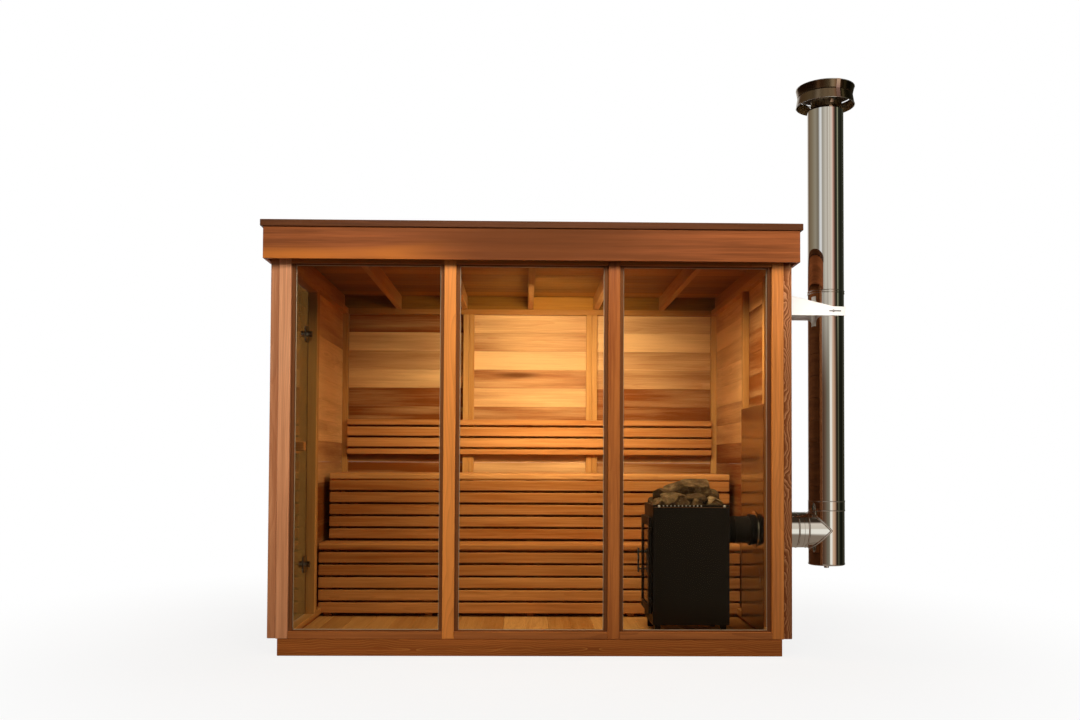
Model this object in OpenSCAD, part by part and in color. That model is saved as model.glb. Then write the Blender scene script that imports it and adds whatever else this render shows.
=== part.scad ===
// Cube sauna: a flat-roofed timber cabin with a glazed front, a glass side
// door, two benches, a wood-burning stove and a steel chimney on its right.
// +Z is up, +X to the right, and -Y is the glazed front. The origin is on the
// ground, under the middle of the cabin.

/* [Front] */
// Width of each fixed pane between its posts
pane_w = 804.3; // [600:5:1000]
// Number of panes
pane_n = 3; // [2:1:4]
// Width of each post and mullion, across the front
post_w = 63.5; // [50:0.5:90]
// Depth of each post and mullion, front to back
post_d = 89; // [70:1:120]
// Height of the sill pieces between the posts, and of the walls' top plates
rail_h = 38; // [30:1:60]
// Height of the header pieces between the posts
header_h = 24; // [15:1:60]
// Set-back of the outer glazing bead behind the post faces
bead_back = 19; // [10:1:25]
// Section of the glazing beads
bead_s = 19; // [12:1:25]
// Height of the beads along the sill and the header
bead_low = 5; // [3:1:25]
// Thickness of the front panes
pane_t = 10; // [6:1:16]

/* [Cabin] */
// Depth of the cabin, post faces to back boards
body_d = 1780.5; // [1500:5:2200]
// Height of the walls above the base
wall_h = 1995; // [1850:5:2300]
// Thickness of the wall boards
board_t = 25.5; // [19:0.5:38]
// Section of the wall studs and plates
stud_s = 38; // [36:1:45]
// Thickness of the vertical boards that cover the corners
corner_t = 46; // [20:1:50]
// Width of the corner boards
corner_w = 140; // [90:5:180]
// Set-back of the front corner boards behind the post faces
corner_back = 12; // [0:1:25]
// Shift of the back wall's panel joints past the middle pane's sides
panel_shift = 28.6; // [20:0.1:60]

/* [Base and floor] */
// Height of the base rim
base_h = 88.9; // [70:0.1:140]
// Thickness of the base rim
base_t = 38; // [30:1:50]
// Inset of the rim behind the wall's outer face, each side
base_inset = 9.5; // [0:0.5:15]
// Set-back of the rim behind the post faces
base_back = 3; // [0:0.5:10]
// Drop of the floor surface below the top of the rim
floor_drop = 19; // [5:1:25]
// Thickness of the floor boards
floor_t = 26; // [19:1:40]
// Number of joists under the floor
joist_n = 9; // [7:2:11]

/* [Roof] */
// Height of the rafters
rafter_h = 89; // [80:1:140]
// Thickness of the rafters
rafter_t = 38; // [30:1:50]
// Spacing of the rafters
rafter_pitch = 460; // [400:5:500]
// Thickness of the roof boards
deck_t = 19; // [15:1:30]
// Overhang of the roof boards in front of the posts
eave = 57; // [30:1:90]
// Thickness of the fascia boards
fascia_t = 19; // [15:1:30]
// Height of the fascia boards
fascia_h = 167; // [150:1:200]
// Drop of the fascia below the top of the walls
fascia_drop = 16; // [0:1:25]
// Thickness of the cap board on the fascia
cap_t = 35; // [20:1:45]
// Width of the cap board
cap_w = 63.5; // [50:0.5:100]
// Overhang of the cap board past the fascia
cap_over = 13; // [5:1:25]
// Overhang of the roof boards past the corner boards
deck_over = 3.5; // [0:0.5:10]
// Thickness of the roofing sheet
roofing_t = 3; // [2:0.5:6]

/* [Door] */
// Thickness of the jambs, head and threshold
jamb_t = 28; // [20:1:38]
// Thickness of the door glass
door_glass_t = 8; // [6:1:10]
// Gap all round the door glass
door_gap = 6; // [5:0.5:8]
// Height of the door hinges
hinge_h = 90; // [60:1:110]
// Radius of the hinge knuckles
knuckle_r = 8; // [7:0.5:10]
// Radius of the hinge pins
pin_r = 4; // [3:0.5:5]
// Distance of each hinge's middle from the end of the glass
hinge_end = 290; // [200:5:400]
// Thickness of the hinge leaves and clamp plates
hinge_t = 4; // [3:0.5:6]
// Width of the clamp plates on the glass
clamp_w = 84; // [66:1:90]
// Height of the handle's middle above the ground
handle_z = 1097; // [950:5:1200]
// Width and height of the wooden handle blocks
handle_w = 48; // [40:1:60]
// Depth of each handle block
handle_d = 50; // [25:1:60]
// Stand-off of the inner handle block from the glass
handle_gap = 38; // [20:1:45]
// Stand-off of the outer handle block from the glass
handle_out = 20; // [10:1:20]
// Radius of the handle's pins
handle_pin_r = 6; // [4:0.5:10]
// Distance of the handle blocks from the glass's free edge
handle_in = 60; // [40:5:100]
// Radius of the round caps on the clamp plates
fitting_r = 18; // [12:1:20]
// Depth of the round caps off the clamp plates
fitting_d = 27; // [10:1:30]
// Extra height of the upper hinge over an even place
fitting_rise = 40; // [0:5:80]

/* [Benches] */
// Width of the bench slats
slat_w = 63.5; // [50:0.5:80]
// Thickness of the bench slats
slat_t = 38; // [30:1:40]
// Gap between slats
slat_gap = 12.7; // [8:0.1:16]
// Thickness of the seat slats
seat_t = 42; // [35:1:45]
// Height of the upper seat above the ground
upper_seat_z = 942; // [880:1:1000]
// Height of the lower seat above the ground
lower_seat_z = 515; // [480:1:540]
// Number of slats across the upper seat
upper_slats = 8; // [6:1:8]
// Number of slats across the lower seat
lower_slats = 3; // [2:1:4]
// Gap between the upper seat and the back wall's studs
seat_back = 35.1; // [10:0.1:60]
// Gap between the ends of the upper bench and the wall studs
upper_end = 1.95; // [1:0.05:20]
// Gap between the ends of the lower bench and the wall boards
lower_end = 18.95; // [5:0.05:37]
// Clear floor between the door's rear stud and the lower bench
bench_room = 130.1; // [60:0.1:300]
// Height of the top of the backrest
backrest_z = 1307; // [1250:1:1400]
// Width of the bench legs and bearers
leg_w = 44; // [38:1:60]
// Depth of the bench legs, front to back
leg_d = 38; // [30:1:50]
// Height of the bearers under the seats
bearer_h = 63; // [50:1:90]
// Distance from the middle of the end legs to the bench's ends
leg_in = 28; // [25:1:100]
// Width of the battens behind the backrest
batten_w = 38; // [30:1:50]

/* [Stove] */
// Length of the stove body, along the front of the cabin
stove_l = 420; // [360:5:430]
// Depth of the stove body
stove_w = 380; // [340:5:400]
// Height of the stove's rim above the ground
stove_z = 785; // [740:1:820]
// Height of the stove's legs
leg_h = 60; // [40:1:90]
// Distance from the stove's right end to the heat shield
stove_off = 180.95; // [130:0.05:300]
// Thickness of the firebox wall
stove_wall = 12; // [8:1:20]
// Thickness of the stove door
fire_door_t = 16; // [12:1:50]
// Width of the stove door's frame round its glass
fire_frame = 45; // [35:1:60]
// Depth of the stone tray
tray_d = 60; // [40:1:65]
// Height of the heap of stones above the rim
heap_h = 145; // [100:1:160]
// Thickness of the heat shield
shield_t = 2; // [1:0.5:3]
// Height of the heat shield's top above the ground
shield_top = 1339; // [1200:1:1500]

/* [Chimney] */
// Outside radius of the chimney pipe
pipe_r = 100; // [95:0.5:110]
// Inside radius of the chimney pipe
flue_r = 77; // [70:0.5:80]
// Outside radius of the stove's flue pipe
stovepipe_r = 76; // [70:0.5:76]
// Wall of the stove's flue pipe
stovepipe_wall = 2; // [1.5:0.5:3]
// Width of the collar round the flue pipe at the heat shield
collar_w = 30; // [20:1:40]
// Thickness of the collar
collar_t = 36; // [6:1:45]
// Width of the plate round the branch on the wall's outer face
wall_ring_w = 45; // [30:1:60]
// Gap between the branch and the hole in the wall
hole_gap = 8; // [4:1:15]
// Height of the flue's middle above the ground
flue_z = 640; // [600:1:660]
// Middle of the flue behind the post faces
flue_y = 397; // [380:1:410]
// Distance from the wall's outer face to the middle of the chimney
chimney_off = 344.55; // [300:0.05:400]
// Length of the tee's arm from the middle of the chimney
tee_arm = 148; // [130:1:170]
// Rise of the tee above the flue's middle
tee_up = 138; // [120:1:160]
// Drop of the tee below the flue's middle
tee_down = 185; // [150:1:220]
// Rise of the chimney pipe above the top of the walls
chimney_rise = 966; // [800:1:1200]
// Drop of the chimney's middle joint below the top of the walls
joint_drop = 97; // [50:1:140]
// Drop of the wall bracket's lower edge below the top of the walls
bracket_drop = 238; // [200:1:300]
// Height of the wall bracket at the wall
bracket_h = 137; // [100:1:160]
// Height of the wall bracket at its tip
bracket_tip = 52; // [40:1:70]
// Thickness of the bracket's plates
bracket_t = 3; // [2:0.5:5]
// Largest radius of the rain cap
cap_r = 163.5; // [150:0.5:190]
// Height of the rain cap, from its skirt to its lid's top
cap_h = 106; // [80:1:140]

/* [Hidden] */
$fn = 96;
touch = 0.5;             // joint left between boards that meet
run = 0.06;              // running clearance of a pin in its bore
front = -body_d / 2;     // y of the post faces
half_in = (pane_n * pane_w + (pane_n - 1) * post_w) / 2;
half_out = half_in + post_w;
half_board = half_out - board_t;
half_stud = half_board - stud_s;
wall_top = base_h + wall_h;
head_z = wall_top - rail_h;
pane_top = wall_top - header_h;
sill_top = base_h + rail_h;
back_board = body_d - board_t;       // inner face of the back boards
back_stud = back_board - stud_s;     // inner face of the back studs
floor_top = base_h - floor_drop;
rim_half = half_out - base_inset;
deck_half = half_out + corner_t + deck_over;
deck_z = wall_top + rafter_h;
fascia_z = wall_top - fascia_drop;
fascia_top = fascia_z + fascia_h;
slat_pitch = slat_w + slat_gap;
panel_x = pane_w / 2 + panel_shift;  // joints between the back wall panels
backrest_y = back_stud - slat_t;
backrest_low = backrest_z - 2 * slat_t - 2 * slat_w - 3 * slat_gap;
upper_half = half_stud - upper_end;
lower_half = half_board - lower_end;
upper_front = back_stud - seat_back - upper_slats * slat_pitch + slat_gap;
lower_front = upper_front - lower_slats * slat_pitch + slat_gap - 1;
upper_skirt_z = upper_seat_z - seat_t - 4;
lower_skirt_z = lower_seat_z - seat_t - slat_gap;
leg_pitch = (upper_half - leg_in) / 2;
door_front = post_d + jamb_t;        // faces of the jambs, behind the posts
door_stud = lower_front - bench_room - stud_s;
door_back = door_stud - jamb_t;
split_y = door_stud + stud_s / 2;    // joint between a side wall's two panels
door_top = head_z - jamb_t;
door_sill = base_h + jamb_t;
glass_x = -half_out + 6;             // outer face of the door glass
hinge_x = -half_out - knuckle_r - 0.5;
hinge_y = door_back - 2;
clamp_arm = hinge_y - 26;            // where the knuckles' arms start
glass_lo = door_sill + door_gap;
glass_hi = door_top - door_gap;
shield_x = half_stud - shield_t;
stove_right = shield_x - stove_off;
stove_left = stove_right - stove_l;
stove_y = flue_y - stove_w / 2;
stove_foot = floor_top + leg_h;
foot_w = 30;                         // the stove's legs
foot_in = 15;
fire_gap = 5;                        // between the firebox door and the stove
fire_knuckle_r = 9;
fire_knuckle_h = 16;
fire_x = stove_left - 14;            // the firebox door's hinge line
fire_y = stove_y + 10;
fire_door_y = fire_y + 16;
fire_door_end = stove_y + stove_w - 20;
fire_door_lo = stove_foot + 60;
fire_door_hi = stove_z - tray_d - 10;
fire_hinge_zs = [fire_door_lo + 70, fire_door_hi - 70];
tray_l = stove_l - 2 * stove_wall;
tray_w = stove_w - 2 * stove_wall;
chimney_x = half_out + chimney_off;
tee_lo = flue_z - tee_down;
tee_hi = flue_z + tee_up;
tee_left = chimney_x - tee_arm;
chimney_top = wall_top + chimney_rise;
joint_z = wall_top - joint_drop;
cap_z = chimney_top + 12;            // lower edge of the rain cap's skirt
cap_sheet = 2;
waist_r = cap_r - 11;                // where the skirt and the lid are narrowest
skirt_h = 0.38 * cap_h;
lid_h = 0.44 * cap_h;

// A block from its low corner to its high corner; y counts back from the posts
module block(lo, hi) {
  translate([lo[0], front + lo[1], lo[2]]) cube([hi[0] - lo[0], hi[1] - lo[1], hi[2] - lo[2]]);
}

module both_sides() {
  children();
  mirror([1, 0, 0]) children();
}

// A cylinder along x, centred on the flue
module along_x(r, x0, x1) {
  translate([x0, front + flue_y, flue_z]) rotate([0, 90, 0]) cylinder(r = r, h = x1 - x0);
}

// A cylinder along z, centred on the chimney
module up(r, z0, z1) {
  translate([chimney_x, front + flue_y, z0]) cylinder(r = r, h = z1 - z0);
}

// Rim boards under the walls, a joint apart at their corners
module base_rim() {
  far = body_d - base_back;
  color("saddlebrown") {
    for (y = [base_back, far - base_t])
      block([-rim_half, y, 0], [rim_half, y + base_t, base_h]);
    both_sides() block([rim_half - base_t, base_back + base_t + touch, 0],
      [rim_half, far - base_t - touch, base_h]);
  }
}

module floor_joists() {
  step = 2 * (rim_half - base_t) / (joist_n + 1);
  color("burlywood") for (i = [1:joist_n]) {
    x = -rim_half + base_t + i * step;
    block([x - base_t / 2, base_back + base_t, 0], [x + base_t / 2, body_d - base_back - base_t, floor_top - floor_t]);
  }
}

module floor_boards() {
  color("peru") block([-rim_half + base_t, base_back + base_t, floor_top - floor_t],
    [rim_half - base_t, body_d - base_back - base_t, floor_top]);
}

// x of the left side of pane number i
function pane_x(i) = -half_in + i * (pane_w + post_w);

// The two corner posts and the mullions between the panes
module front_posts() {
  color("chocolate") {
    both_sides() block([half_in, 0, base_h], [half_out, post_d, wall_top]);
    for (i = [1:pane_n - 1])
      block([pane_x(i) - post_w, 0, base_h], [pane_x(i), post_d, wall_top]);
  }
}

// Sill and header pieces between the posts
module front_rails() {
  color("chocolate") for (i = [0:pane_n - 1], span = [[base_h, sill_top], [pane_top, wall_top]])
    block([pane_x(i), 0, span[0]], [pane_x(i) + pane_w, post_d, span[1]]);
}

module front_panes() {
  y = bead_back + bead_s;
  color("lightcyan", 0.35) for (i = [0:pane_n - 1])
    block([pane_x(i), y, sill_top], [pane_x(i) + pane_w, y + pane_t, pane_top]);
}

// Beads on the outer side of each pane
module glazing_beads() {
  color("saddlebrown") for (i = [0:pane_n - 1]) translate([pane_x(i), 0, 0]) {
    for (x = [0, pane_w - bead_s])
      block([x, bead_back, sill_top], [x + bead_s, bead_back + bead_s, pane_top]);
    for (z = [sill_top, pane_top - bead_low])
      block([bead_s + touch, bead_back, z], [pane_w - bead_s - touch, bead_back + bead_s, z + bead_low]);
  }
}

// Boards of the right wall, in two panels, with the hole for the flue
module right_wall() {
  color("peru") {
    difference() {
      block([half_board, post_d, base_h], [half_out, split_y - touch / 2, wall_top]);
      along_x(pipe_r + hole_gap, half_board - 5, half_out + 5);
    }
    block([half_board, split_y + touch / 2, base_h], [half_out, back_board, wall_top]);
  }
}

// Boards of the left wall, behind the door and over it
module left_wall() {
  color("peru") {
    block([-half_out, door_stud, base_h], [-half_board, back_board, wall_top]);
    block([-half_out, post_d, head_z], [-half_board, door_stud - touch, wall_top]);
  }
}

// Boards of the back wall, in three panels
module back_wall() {
  color("peru") for (span = [[-half_out, -panel_x], [-panel_x, panel_x], [panel_x, half_out]])
    block([span[0] + (span[0] > -half_out ? touch / 2 : 0), back_board, base_h],
      [span[1] - (span[1] < half_out ? touch / 2 : 0), body_d, wall_top]);
}

module bottom_plate(y0, y1) {
  block([half_stud, y0, base_h], [half_board, y1, base_h + stud_s]);
}

// Top and bottom plates inside the wall boards, cut where the lower bench's
// skirt passes
module wall_plates() {
  color("chocolate") {
    for (z = [base_h, head_z])
      block([-half_board, back_stud, z], [half_board, back_board, z + stud_s]);
    both_sides() {
      block([half_stud, post_d, head_z], [half_board, back_stud - touch, wall_top]);
      bottom_plate(lower_front + slat_t + touch, back_stud - touch);
    }
    bottom_plate(post_d, lower_front - touch);
    mirror([1, 0, 0]) bottom_plate(door_stud, lower_front - touch);
  }
}

module stud(x, y) {
  block([x, y, base_h + stud_s], [x + stud_s, y + stud_s, head_z]);
}

module wall_studs() {
  color("sienna") {
    both_sides() {
      stud(half_stud, back_stud);
      stud(panel_x + touch, back_stud);
      stud(panel_x - touch - stud_s, back_stud);
    }
    stud(-half_board, door_stud);
    stud(half_stud, door_stud);
    stud(half_stud, 2 * post_d);
  }
}

module corner_boards() {
  color("sienna") both_sides() for (y = [corner_back, body_d - corner_w])
    block([half_out, y, base_h], [half_out + corner_t, y + corner_w, wall_top]);
}

module door_frame() {
  color("sienna") {
    for (y = [post_d, door_back])
      block([-half_out, y, door_sill], [-half_stud, y + jamb_t, door_top]);
    for (z = [base_h, door_top])
      block([-half_out, post_d, z + (z == base_h ? 0 : touch)],
        [-half_stud, door_stud, z + jamb_t - (z == base_h ? touch : 0)]);
  }
}

module door_glass() {
  color("lightcyan", 0.35) block([glass_x, door_front + door_gap, glass_lo],
    [glass_x + door_glass_t, hinge_y - door_gap, glass_hi]);
}

// Blocks on both faces of the glass, near its free edge
module door_handle() {
  y = door_front + door_gap + handle_in;
  color("peru") for (x = [glass_x + door_glass_t + handle_gap, glass_x - handle_out - handle_d])
    block([x, y, handle_z - handle_w / 2], [x + handle_d, y + handle_w, handle_z + handle_w / 2]);
}

// A round cap or pin along x on each face of the door, from each span's start
// to its end, measured off the glass: the inner span, then the outer one
module on_glass(r, y, z, inner, outer) {
  translate([glass_x, front + y, z]) rotate([0, 90, 0]) {
    translate([0, 0, door_glass_t + inner[0]]) cylinder(r = r, h = inner[1] - inner[0]);
    translate([0, 0, -outer[1]]) cylinder(r = r, h = outer[1] - outer[0]);
  }
}

// Caps on the clamp plates, and the pins that carry the handle
module door_fittings() {
  cap = [hinge_t, hinge_t + fitting_d];
  pins = door_front + door_gap + handle_in + handle_w / 2;
  color("silver") {
    for (z = hinge_zs()) on_glass(fitting_r, clamp_arm - 4 - fitting_r, z, cap, cap);
    for (dz = [-14, 14]) on_glass(handle_pin_r, pins, handle_z + dz, [0, handle_gap], [0, handle_out]);
  }
}

function hinge_zs() = [glass_lo + hinge_end, glass_hi - hinge_end + fitting_rise];

module hinge_axis(r, z0, z1) {
  translate([hinge_x, front + hinge_y, z0]) cylinder(r = r, h = z1 - z0);
}

// Clamp plates on the glass, with the pin and the outer knuckles
module door_hinge_clamps() {
  h = hinge_h / 2;
  edge = hinge_y - door_gap;
  arm = clamp_arm;
  color("silver") for (z = hinge_zs()) {
    block([glass_x - hinge_t, edge - clamp_w, z - h], [glass_x, edge, z + h]);
    block([glass_x + door_glass_t, edge - clamp_w, z - h], [glass_x + door_glass_t + hinge_t, edge, z + h]);
    for (s = [-1, 1]) {
      lo = z + (s > 0 ? hinge_h / 6 + touch : -h);
      hi = z + (s > 0 ? h : -hinge_h / 6 - touch);
      hinge_axis(knuckle_r, lo, hi);
      block([hinge_x - hinge_t / 2, arm, lo], [hinge_x + hinge_t / 2, hinge_y, hi]);
      block([hinge_x - hinge_t / 2, arm, lo], [glass_x - hinge_t, arm + 2 * hinge_t, hi]);
    }
    hinge_axis(pin_r, z - h, z + h);
  }
}

// Leaves on the rear jamb, with the middle knuckle
module door_hinge_leaves() {
  h = hinge_h / 2;
  color("silver") for (z = hinge_zs()) difference() {
    union() {
      block([-half_out - hinge_t, hinge_y + 10, z - h], [-half_out, hinge_y + 40, z + h]);
      hinge_axis(knuckle_r, z - h / 3, z + h / 3);
      block([hinge_x, hinge_y + 1, z - h / 3], [-half_out, hinge_y + 12, z + h / 3]);
    }
    hinge_axis(pin_r + run, z - h / 3 - 1, z + h / 3 + 1);
  }
}

function rafter_xs() = concat([-half_out + rafter_t / 2],
  [for (i = [-2:2]) i * rafter_pitch], [half_out - rafter_t / 2]);

module rafters() {
  color("peru") for (x = rafter_xs())
    block([x - rafter_t / 2, -eave, wall_top], [x + rafter_t / 2, body_d + eave, deck_z]);
}

// Boards that close the gaps between rafters, on the front and back walls
module rafter_blocking() {
  xs = rafter_xs();
  color("burlywood") for (i = [0:len(xs) - 2], y = [post_d - stud_s, back_stud])
    block([xs[i] + rafter_t / 2, y, wall_top], [xs[i + 1] - rafter_t / 2, y + stud_s, deck_z]);
}

module roof_boards() {
  color("sienna") block([-deck_half, -eave, deck_z], [deck_half, body_d + eave, deck_z + deck_t]);
}

module roofing_sheet() {
  color("dimgray") block([-deck_half, -eave, deck_z + deck_t], [deck_half, body_d + eave, deck_z + deck_t + roofing_t]);
}

// Boards along a rectangle's four sides, a joint apart at the corners
module frame_of_boards(half_x, y0, y1, w, z, h) {
  for (y = [y0, y1 - w]) block([-half_x, y, z], [half_x, y + w, z + h]);
  both_sides() block([half_x - w, y0 + w + touch, z], [half_x, y1 - w - touch, z + h]);
}

module fascias() {
  color("saddlebrown")
    frame_of_boards(deck_half + fascia_t, -eave - fascia_t, body_d + eave + fascia_t, fascia_t, fascia_z, fascia_h);
}

module roof_cap() {
  out = fascia_t + cap_over;
  color("#5a331c")
    frame_of_boards(deck_half + out, -eave - out, body_d + eave + out, cap_w, fascia_top, cap_t);
}

// A slat with its front edges rounded, lying flat; y0 is its front
module nosing(half, y0, z1) {
  r = seat_t / 3;
  translate([-half, front + y0, z1]) rotate([90, 0, 90]) linear_extrude(2 * half) difference() {
    translate([0, -seat_t]) square([slat_w, seat_t]);
    for (z = [0, -seat_t + r]) difference() {
      translate([-1, z - (z == 0 ? r : r + 1)]) square([r + 1, r + 1]);
      translate([r, z == 0 ? -r : z]) circle(r);
    }
  }
}

module seat(half, y0, z1, n) {
  nosing(half, y0, z1);
  for (i = [1:n - 1]) {
    y = y0 + i * slat_pitch;
    block([-half, y, z1 - seat_t], [half, y + slat_w, z1]);
  }
}

// Upright slats across the front of a bench, from z1 down
module skirt(half, y0, z1, n) {
  for (i = [0:n - 1]) {
    z = z1 - i * slat_pitch;
    block([-half, y0, z - slat_w], [half, y0 + slat_t, z]);
  }
}

module upper_bench_seat() {
  color("peru") seat(upper_half, upper_front, upper_seat_z, upper_slats);
}

module upper_bench_skirt() {
  color("peru") skirt(upper_half, upper_front, upper_skirt_z,
    floor((upper_skirt_z - lower_seat_z + slat_gap - 1) / slat_pitch));
}

module lower_bench_seat() {
  color("peru") seat(lower_half, lower_front, lower_seat_z, lower_slats);
}

module lower_bench_skirt() {
  color("peru") skirt(lower_half, lower_front, lower_skirt_z,
    floor((lower_skirt_z - floor_top + slat_gap) / slat_pitch));
}

function leg_xs() = [for (i = [-2:2]) i * leg_pitch];

// A leg or a bearer at x
module bench_post(x, y0, z0, y1, z1) {
  block([x - leg_w / 2, y0, z0], [x + leg_w / 2, y1, z1]);
}

// Legs behind both skirts
module bench_legs() {
  color("burlywood") for (x = leg_xs(), b = [[lower_front, lower_seat_z], [upper_front, upper_seat_z]])
    bench_post(x, b[0] + slat_t, floor_top, b[0] + slat_t + leg_d, b[1] - seat_t - bearer_h);
}

// Bearers that carry the seats
module bench_bearers() {
  color("burlywood") for (x = leg_xs()) {
    bench_post(x, lower_front + slat_t, lower_seat_z - seat_t - bearer_h, upper_front + slat_t, lower_seat_z - seat_t);
    bench_post(x, upper_front + slat_t, upper_seat_z - seat_t - bearer_h, back_board, upper_seat_z - seat_t);
  }
}

module backrest() {
  color("peru") {
    skirt(upper_half, backrest_y, backrest_z - slat_t - slat_gap, 2);
    block([-upper_half, backrest_y, backrest_z - slat_t], [upper_half, back_stud, backrest_z]);
    block([-upper_half, backrest_y, backrest_low], [upper_half, back_stud, backrest_low + slat_t]);
  }
}

module backrest_battens() {
  color("burlywood") for (x = [-leg_pitch, 0, leg_pitch])
    block([x - batten_w / 2, back_stud, backrest_low], [x + batten_w / 2, back_board, backrest_z]);
}

module heat_shield() {
  color("gainsboro") difference() {
    block([shield_x, 2 * post_d, floor_top + 20], [half_stud, door_stud + stud_s, shield_top]);
    along_x(stovepipe_r + 1, shield_x - 1, half_stud + 1);
  }
}

// A cylinder about the firebox door's hinge line
module fire_axis(r, z0, z1) {
  translate([fire_x, front + fire_y, z0]) cylinder(r = r, h = z1 - z0);
}

module stove_body() {
  cavity = stove_z - tray_d - 22;
  color("#1c1c1c") difference() {
    union() {
      block([stove_left, stove_y, stove_foot], [stove_right, stove_y + stove_w, stove_z]);
      along_x(60, stove_right, stove_right + 30);
      along_x(stovepipe_r - stovepipe_wall - 0.3, stove_right + 30, stove_right + 66);
      for (x = [stove_left + foot_in, stove_right - foot_in - foot_w], y = [stove_y + foot_in, stove_y + stove_w - foot_in - foot_w])
        block([x, y, floor_top], [x + foot_w, y + foot_w, stove_foot]);
      for (z = fire_hinge_zs) {
        fire_axis(fire_knuckle_r, z - fire_knuckle_h, z);
        block([fire_x, fire_y - 5, z - fire_knuckle_h], [stove_left, fire_y + 5, z]);
      }
    }
    block([stove_left + stove_wall, stove_y + stove_wall, stove_z - tray_d],
      [stove_right - stove_wall, stove_y + stove_w - stove_wall, stove_z + 1]);
    block([stove_left - 1, stove_y + 50, stove_foot + 80], [stove_right - 30, stove_y + stove_w - 50, cavity]);
    along_x(55, stove_right - 40, stove_right + 80);
    for (z = fire_hinge_zs) fire_axis(pin_r + run, z - fire_knuckle_h - 1, z + 1);
  }
}

// Frame of the firebox door, with its knuckles and pins
module stove_door_frame() {
  x1 = stove_left - fire_gap;
  color("dimgray") {
    difference() {
      block([x1 - fire_door_t, fire_door_y, fire_door_lo], [x1, fire_door_end, fire_door_hi]);
      block([x1 - fire_door_t - 1, fire_door_y + fire_frame, fire_door_lo + fire_frame],
        [x1 + 1, fire_door_end - fire_frame, fire_door_hi - fire_frame]);
    }
    for (z = fire_hinge_zs) {
      fire_axis(fire_knuckle_r, z + touch, z + fire_knuckle_h);
      fire_axis(pin_r, z - fire_knuckle_h, z + fire_knuckle_h);
      block([fire_x - 4, fire_y, z + touch], [fire_x + 4, fire_door_y, z + fire_knuckle_h]);
    }
  }
}

module stove_door_glass() {
  x = stove_left - fire_gap - fire_door_t / 2 - 2.5;
  color("#202020", 0.6) block([x, fire_door_y + fire_frame, fire_door_lo + fire_frame],
    [x + 5, fire_door_end - fire_frame, fire_door_hi - fire_frame]);
}

module stove_door_handle() {
  x = stove_left - fire_gap - fire_door_t;
  y = fire_door_end - fire_frame / 2;
  z = (fire_door_lo + fire_door_hi) / 2;
  color("silver") {
    for (dz = [-50, 50]) block([x - 16, y - 6, z + dz - 6], [x, y + 6, z + dz + 6]);
    block([x - 26, y - 8, z - 70], [x - 16, y + 8, z + 70]);
  }
}

// An angular stone; size is its half length each way, and i picks its shape
module stone(i, size) {
  dirs = [[1, 0, 0], [-1, 0, 0], [0, 1, 0], [0, -1, 0], [0, 0, 1], [0, 0, -1],
    for (x = [-0.6, 0.6], y = [-0.6, 0.6], z = [-0.6, 0.6]) [x, y, z]];
  shift = rands(-0.2, 0.2, 42, i);
  hull() polyhedron([for (k = [0:13]) [for (c = [0:2]) (0.92 * dirs[k][c] + shift[3 * k + c]) * size[c]]],
    [[for (k = [0:13]) k]]);
}

// Rough stones heaped in the tray: [x, y, z, half length, half width, half
// height] as shares of the tray's length, its width and the heap's height
module stove_stones() {
  whole = tray_d + heap_h;
  low = [for (i = [0:3], j = [0:3]) [0.13 + 0.247 * i, 0.13 + 0.247 * j, 0.2, 0.155, 0.155, 0.28]];
  top = [[0.63, 0.58, 0.72, 0.34, 0.28, 0.3], [0.2, 0.5, 0.56, 0.18, 0.22, 0.24],
    [0.28, 0.2, 0.44, 0.2, 0.18, 0.22], [0.58, 0.2, 0.46, 0.18, 0.18, 0.22],
    [0.86, 0.2, 0.36, 0.15, 0.18, 0.2], [0.4, 0.83, 0.48, 0.22, 0.17, 0.28],
    [0.8, 0.84, 0.46, 0.18, 0.17, 0.26], [0.86, 0.52, 0.46, 0.15, 0.22, 0.26]];
  stones = concat(low, top);
  color("#6b5c3a") intersection() {
    for (i = [0:len(stones) - 1]) let (s = stones[i])
      translate([stove_left + stove_wall + s[0] * tray_l, front + stove_y + stove_wall + s[1] * tray_w,
        stove_z - tray_d + s[2] * whole]) stone(i, [s[3] * tray_l, s[4] * tray_w, s[5] * whole]);
    block([stove_left + stove_wall + 2, stove_y + stove_wall + 2, stove_z - tray_d],
      [stove_right - stove_wall - 2, stove_y + stove_w - stove_wall - 2, stove_z + heap_h]);
  }
}

module stove_flue_pipe() {
  color("#1c1c1c") difference() {
    along_x(stovepipe_r, stove_right + 32, half_board);
    along_x(stovepipe_r - stovepipe_wall, stove_right + 31, half_board + 1);
  }
}

module flue_wall_collar() {
  color("#1c1c1c") difference() {
    along_x(stovepipe_r + collar_w, shield_x - collar_t, shield_x);
    along_x(stovepipe_r + 0.5, shield_x - collar_t - 1, shield_x + 1);
  }
}

module flue_branch() {
  color("silver") difference() {
    union() {
      along_x(pipe_r, half_stud, tee_left);
      along_x(pipe_r + wall_ring_w, half_out, half_out + 2);
    }
    along_x(flue_r, half_stud - 1, tee_left + 1);
  }
}

module chimney_tee() {
  color("silver") difference() {
    union() {
      up(pipe_r, tee_lo, tee_hi);
      along_x(pipe_r, tee_left, chimney_x);
    }
    up(flue_r, tee_lo - 1, tee_hi + 1);
    along_x(flue_r, tee_left - 1, chimney_x);
  }
}

module chimney_tee_cap() {
  color("silver") {
    up(pipe_r + 1.5, tee_lo - 12, tee_lo);
    up(14, tee_lo - 30, tee_lo - 12);
  }
}

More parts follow.
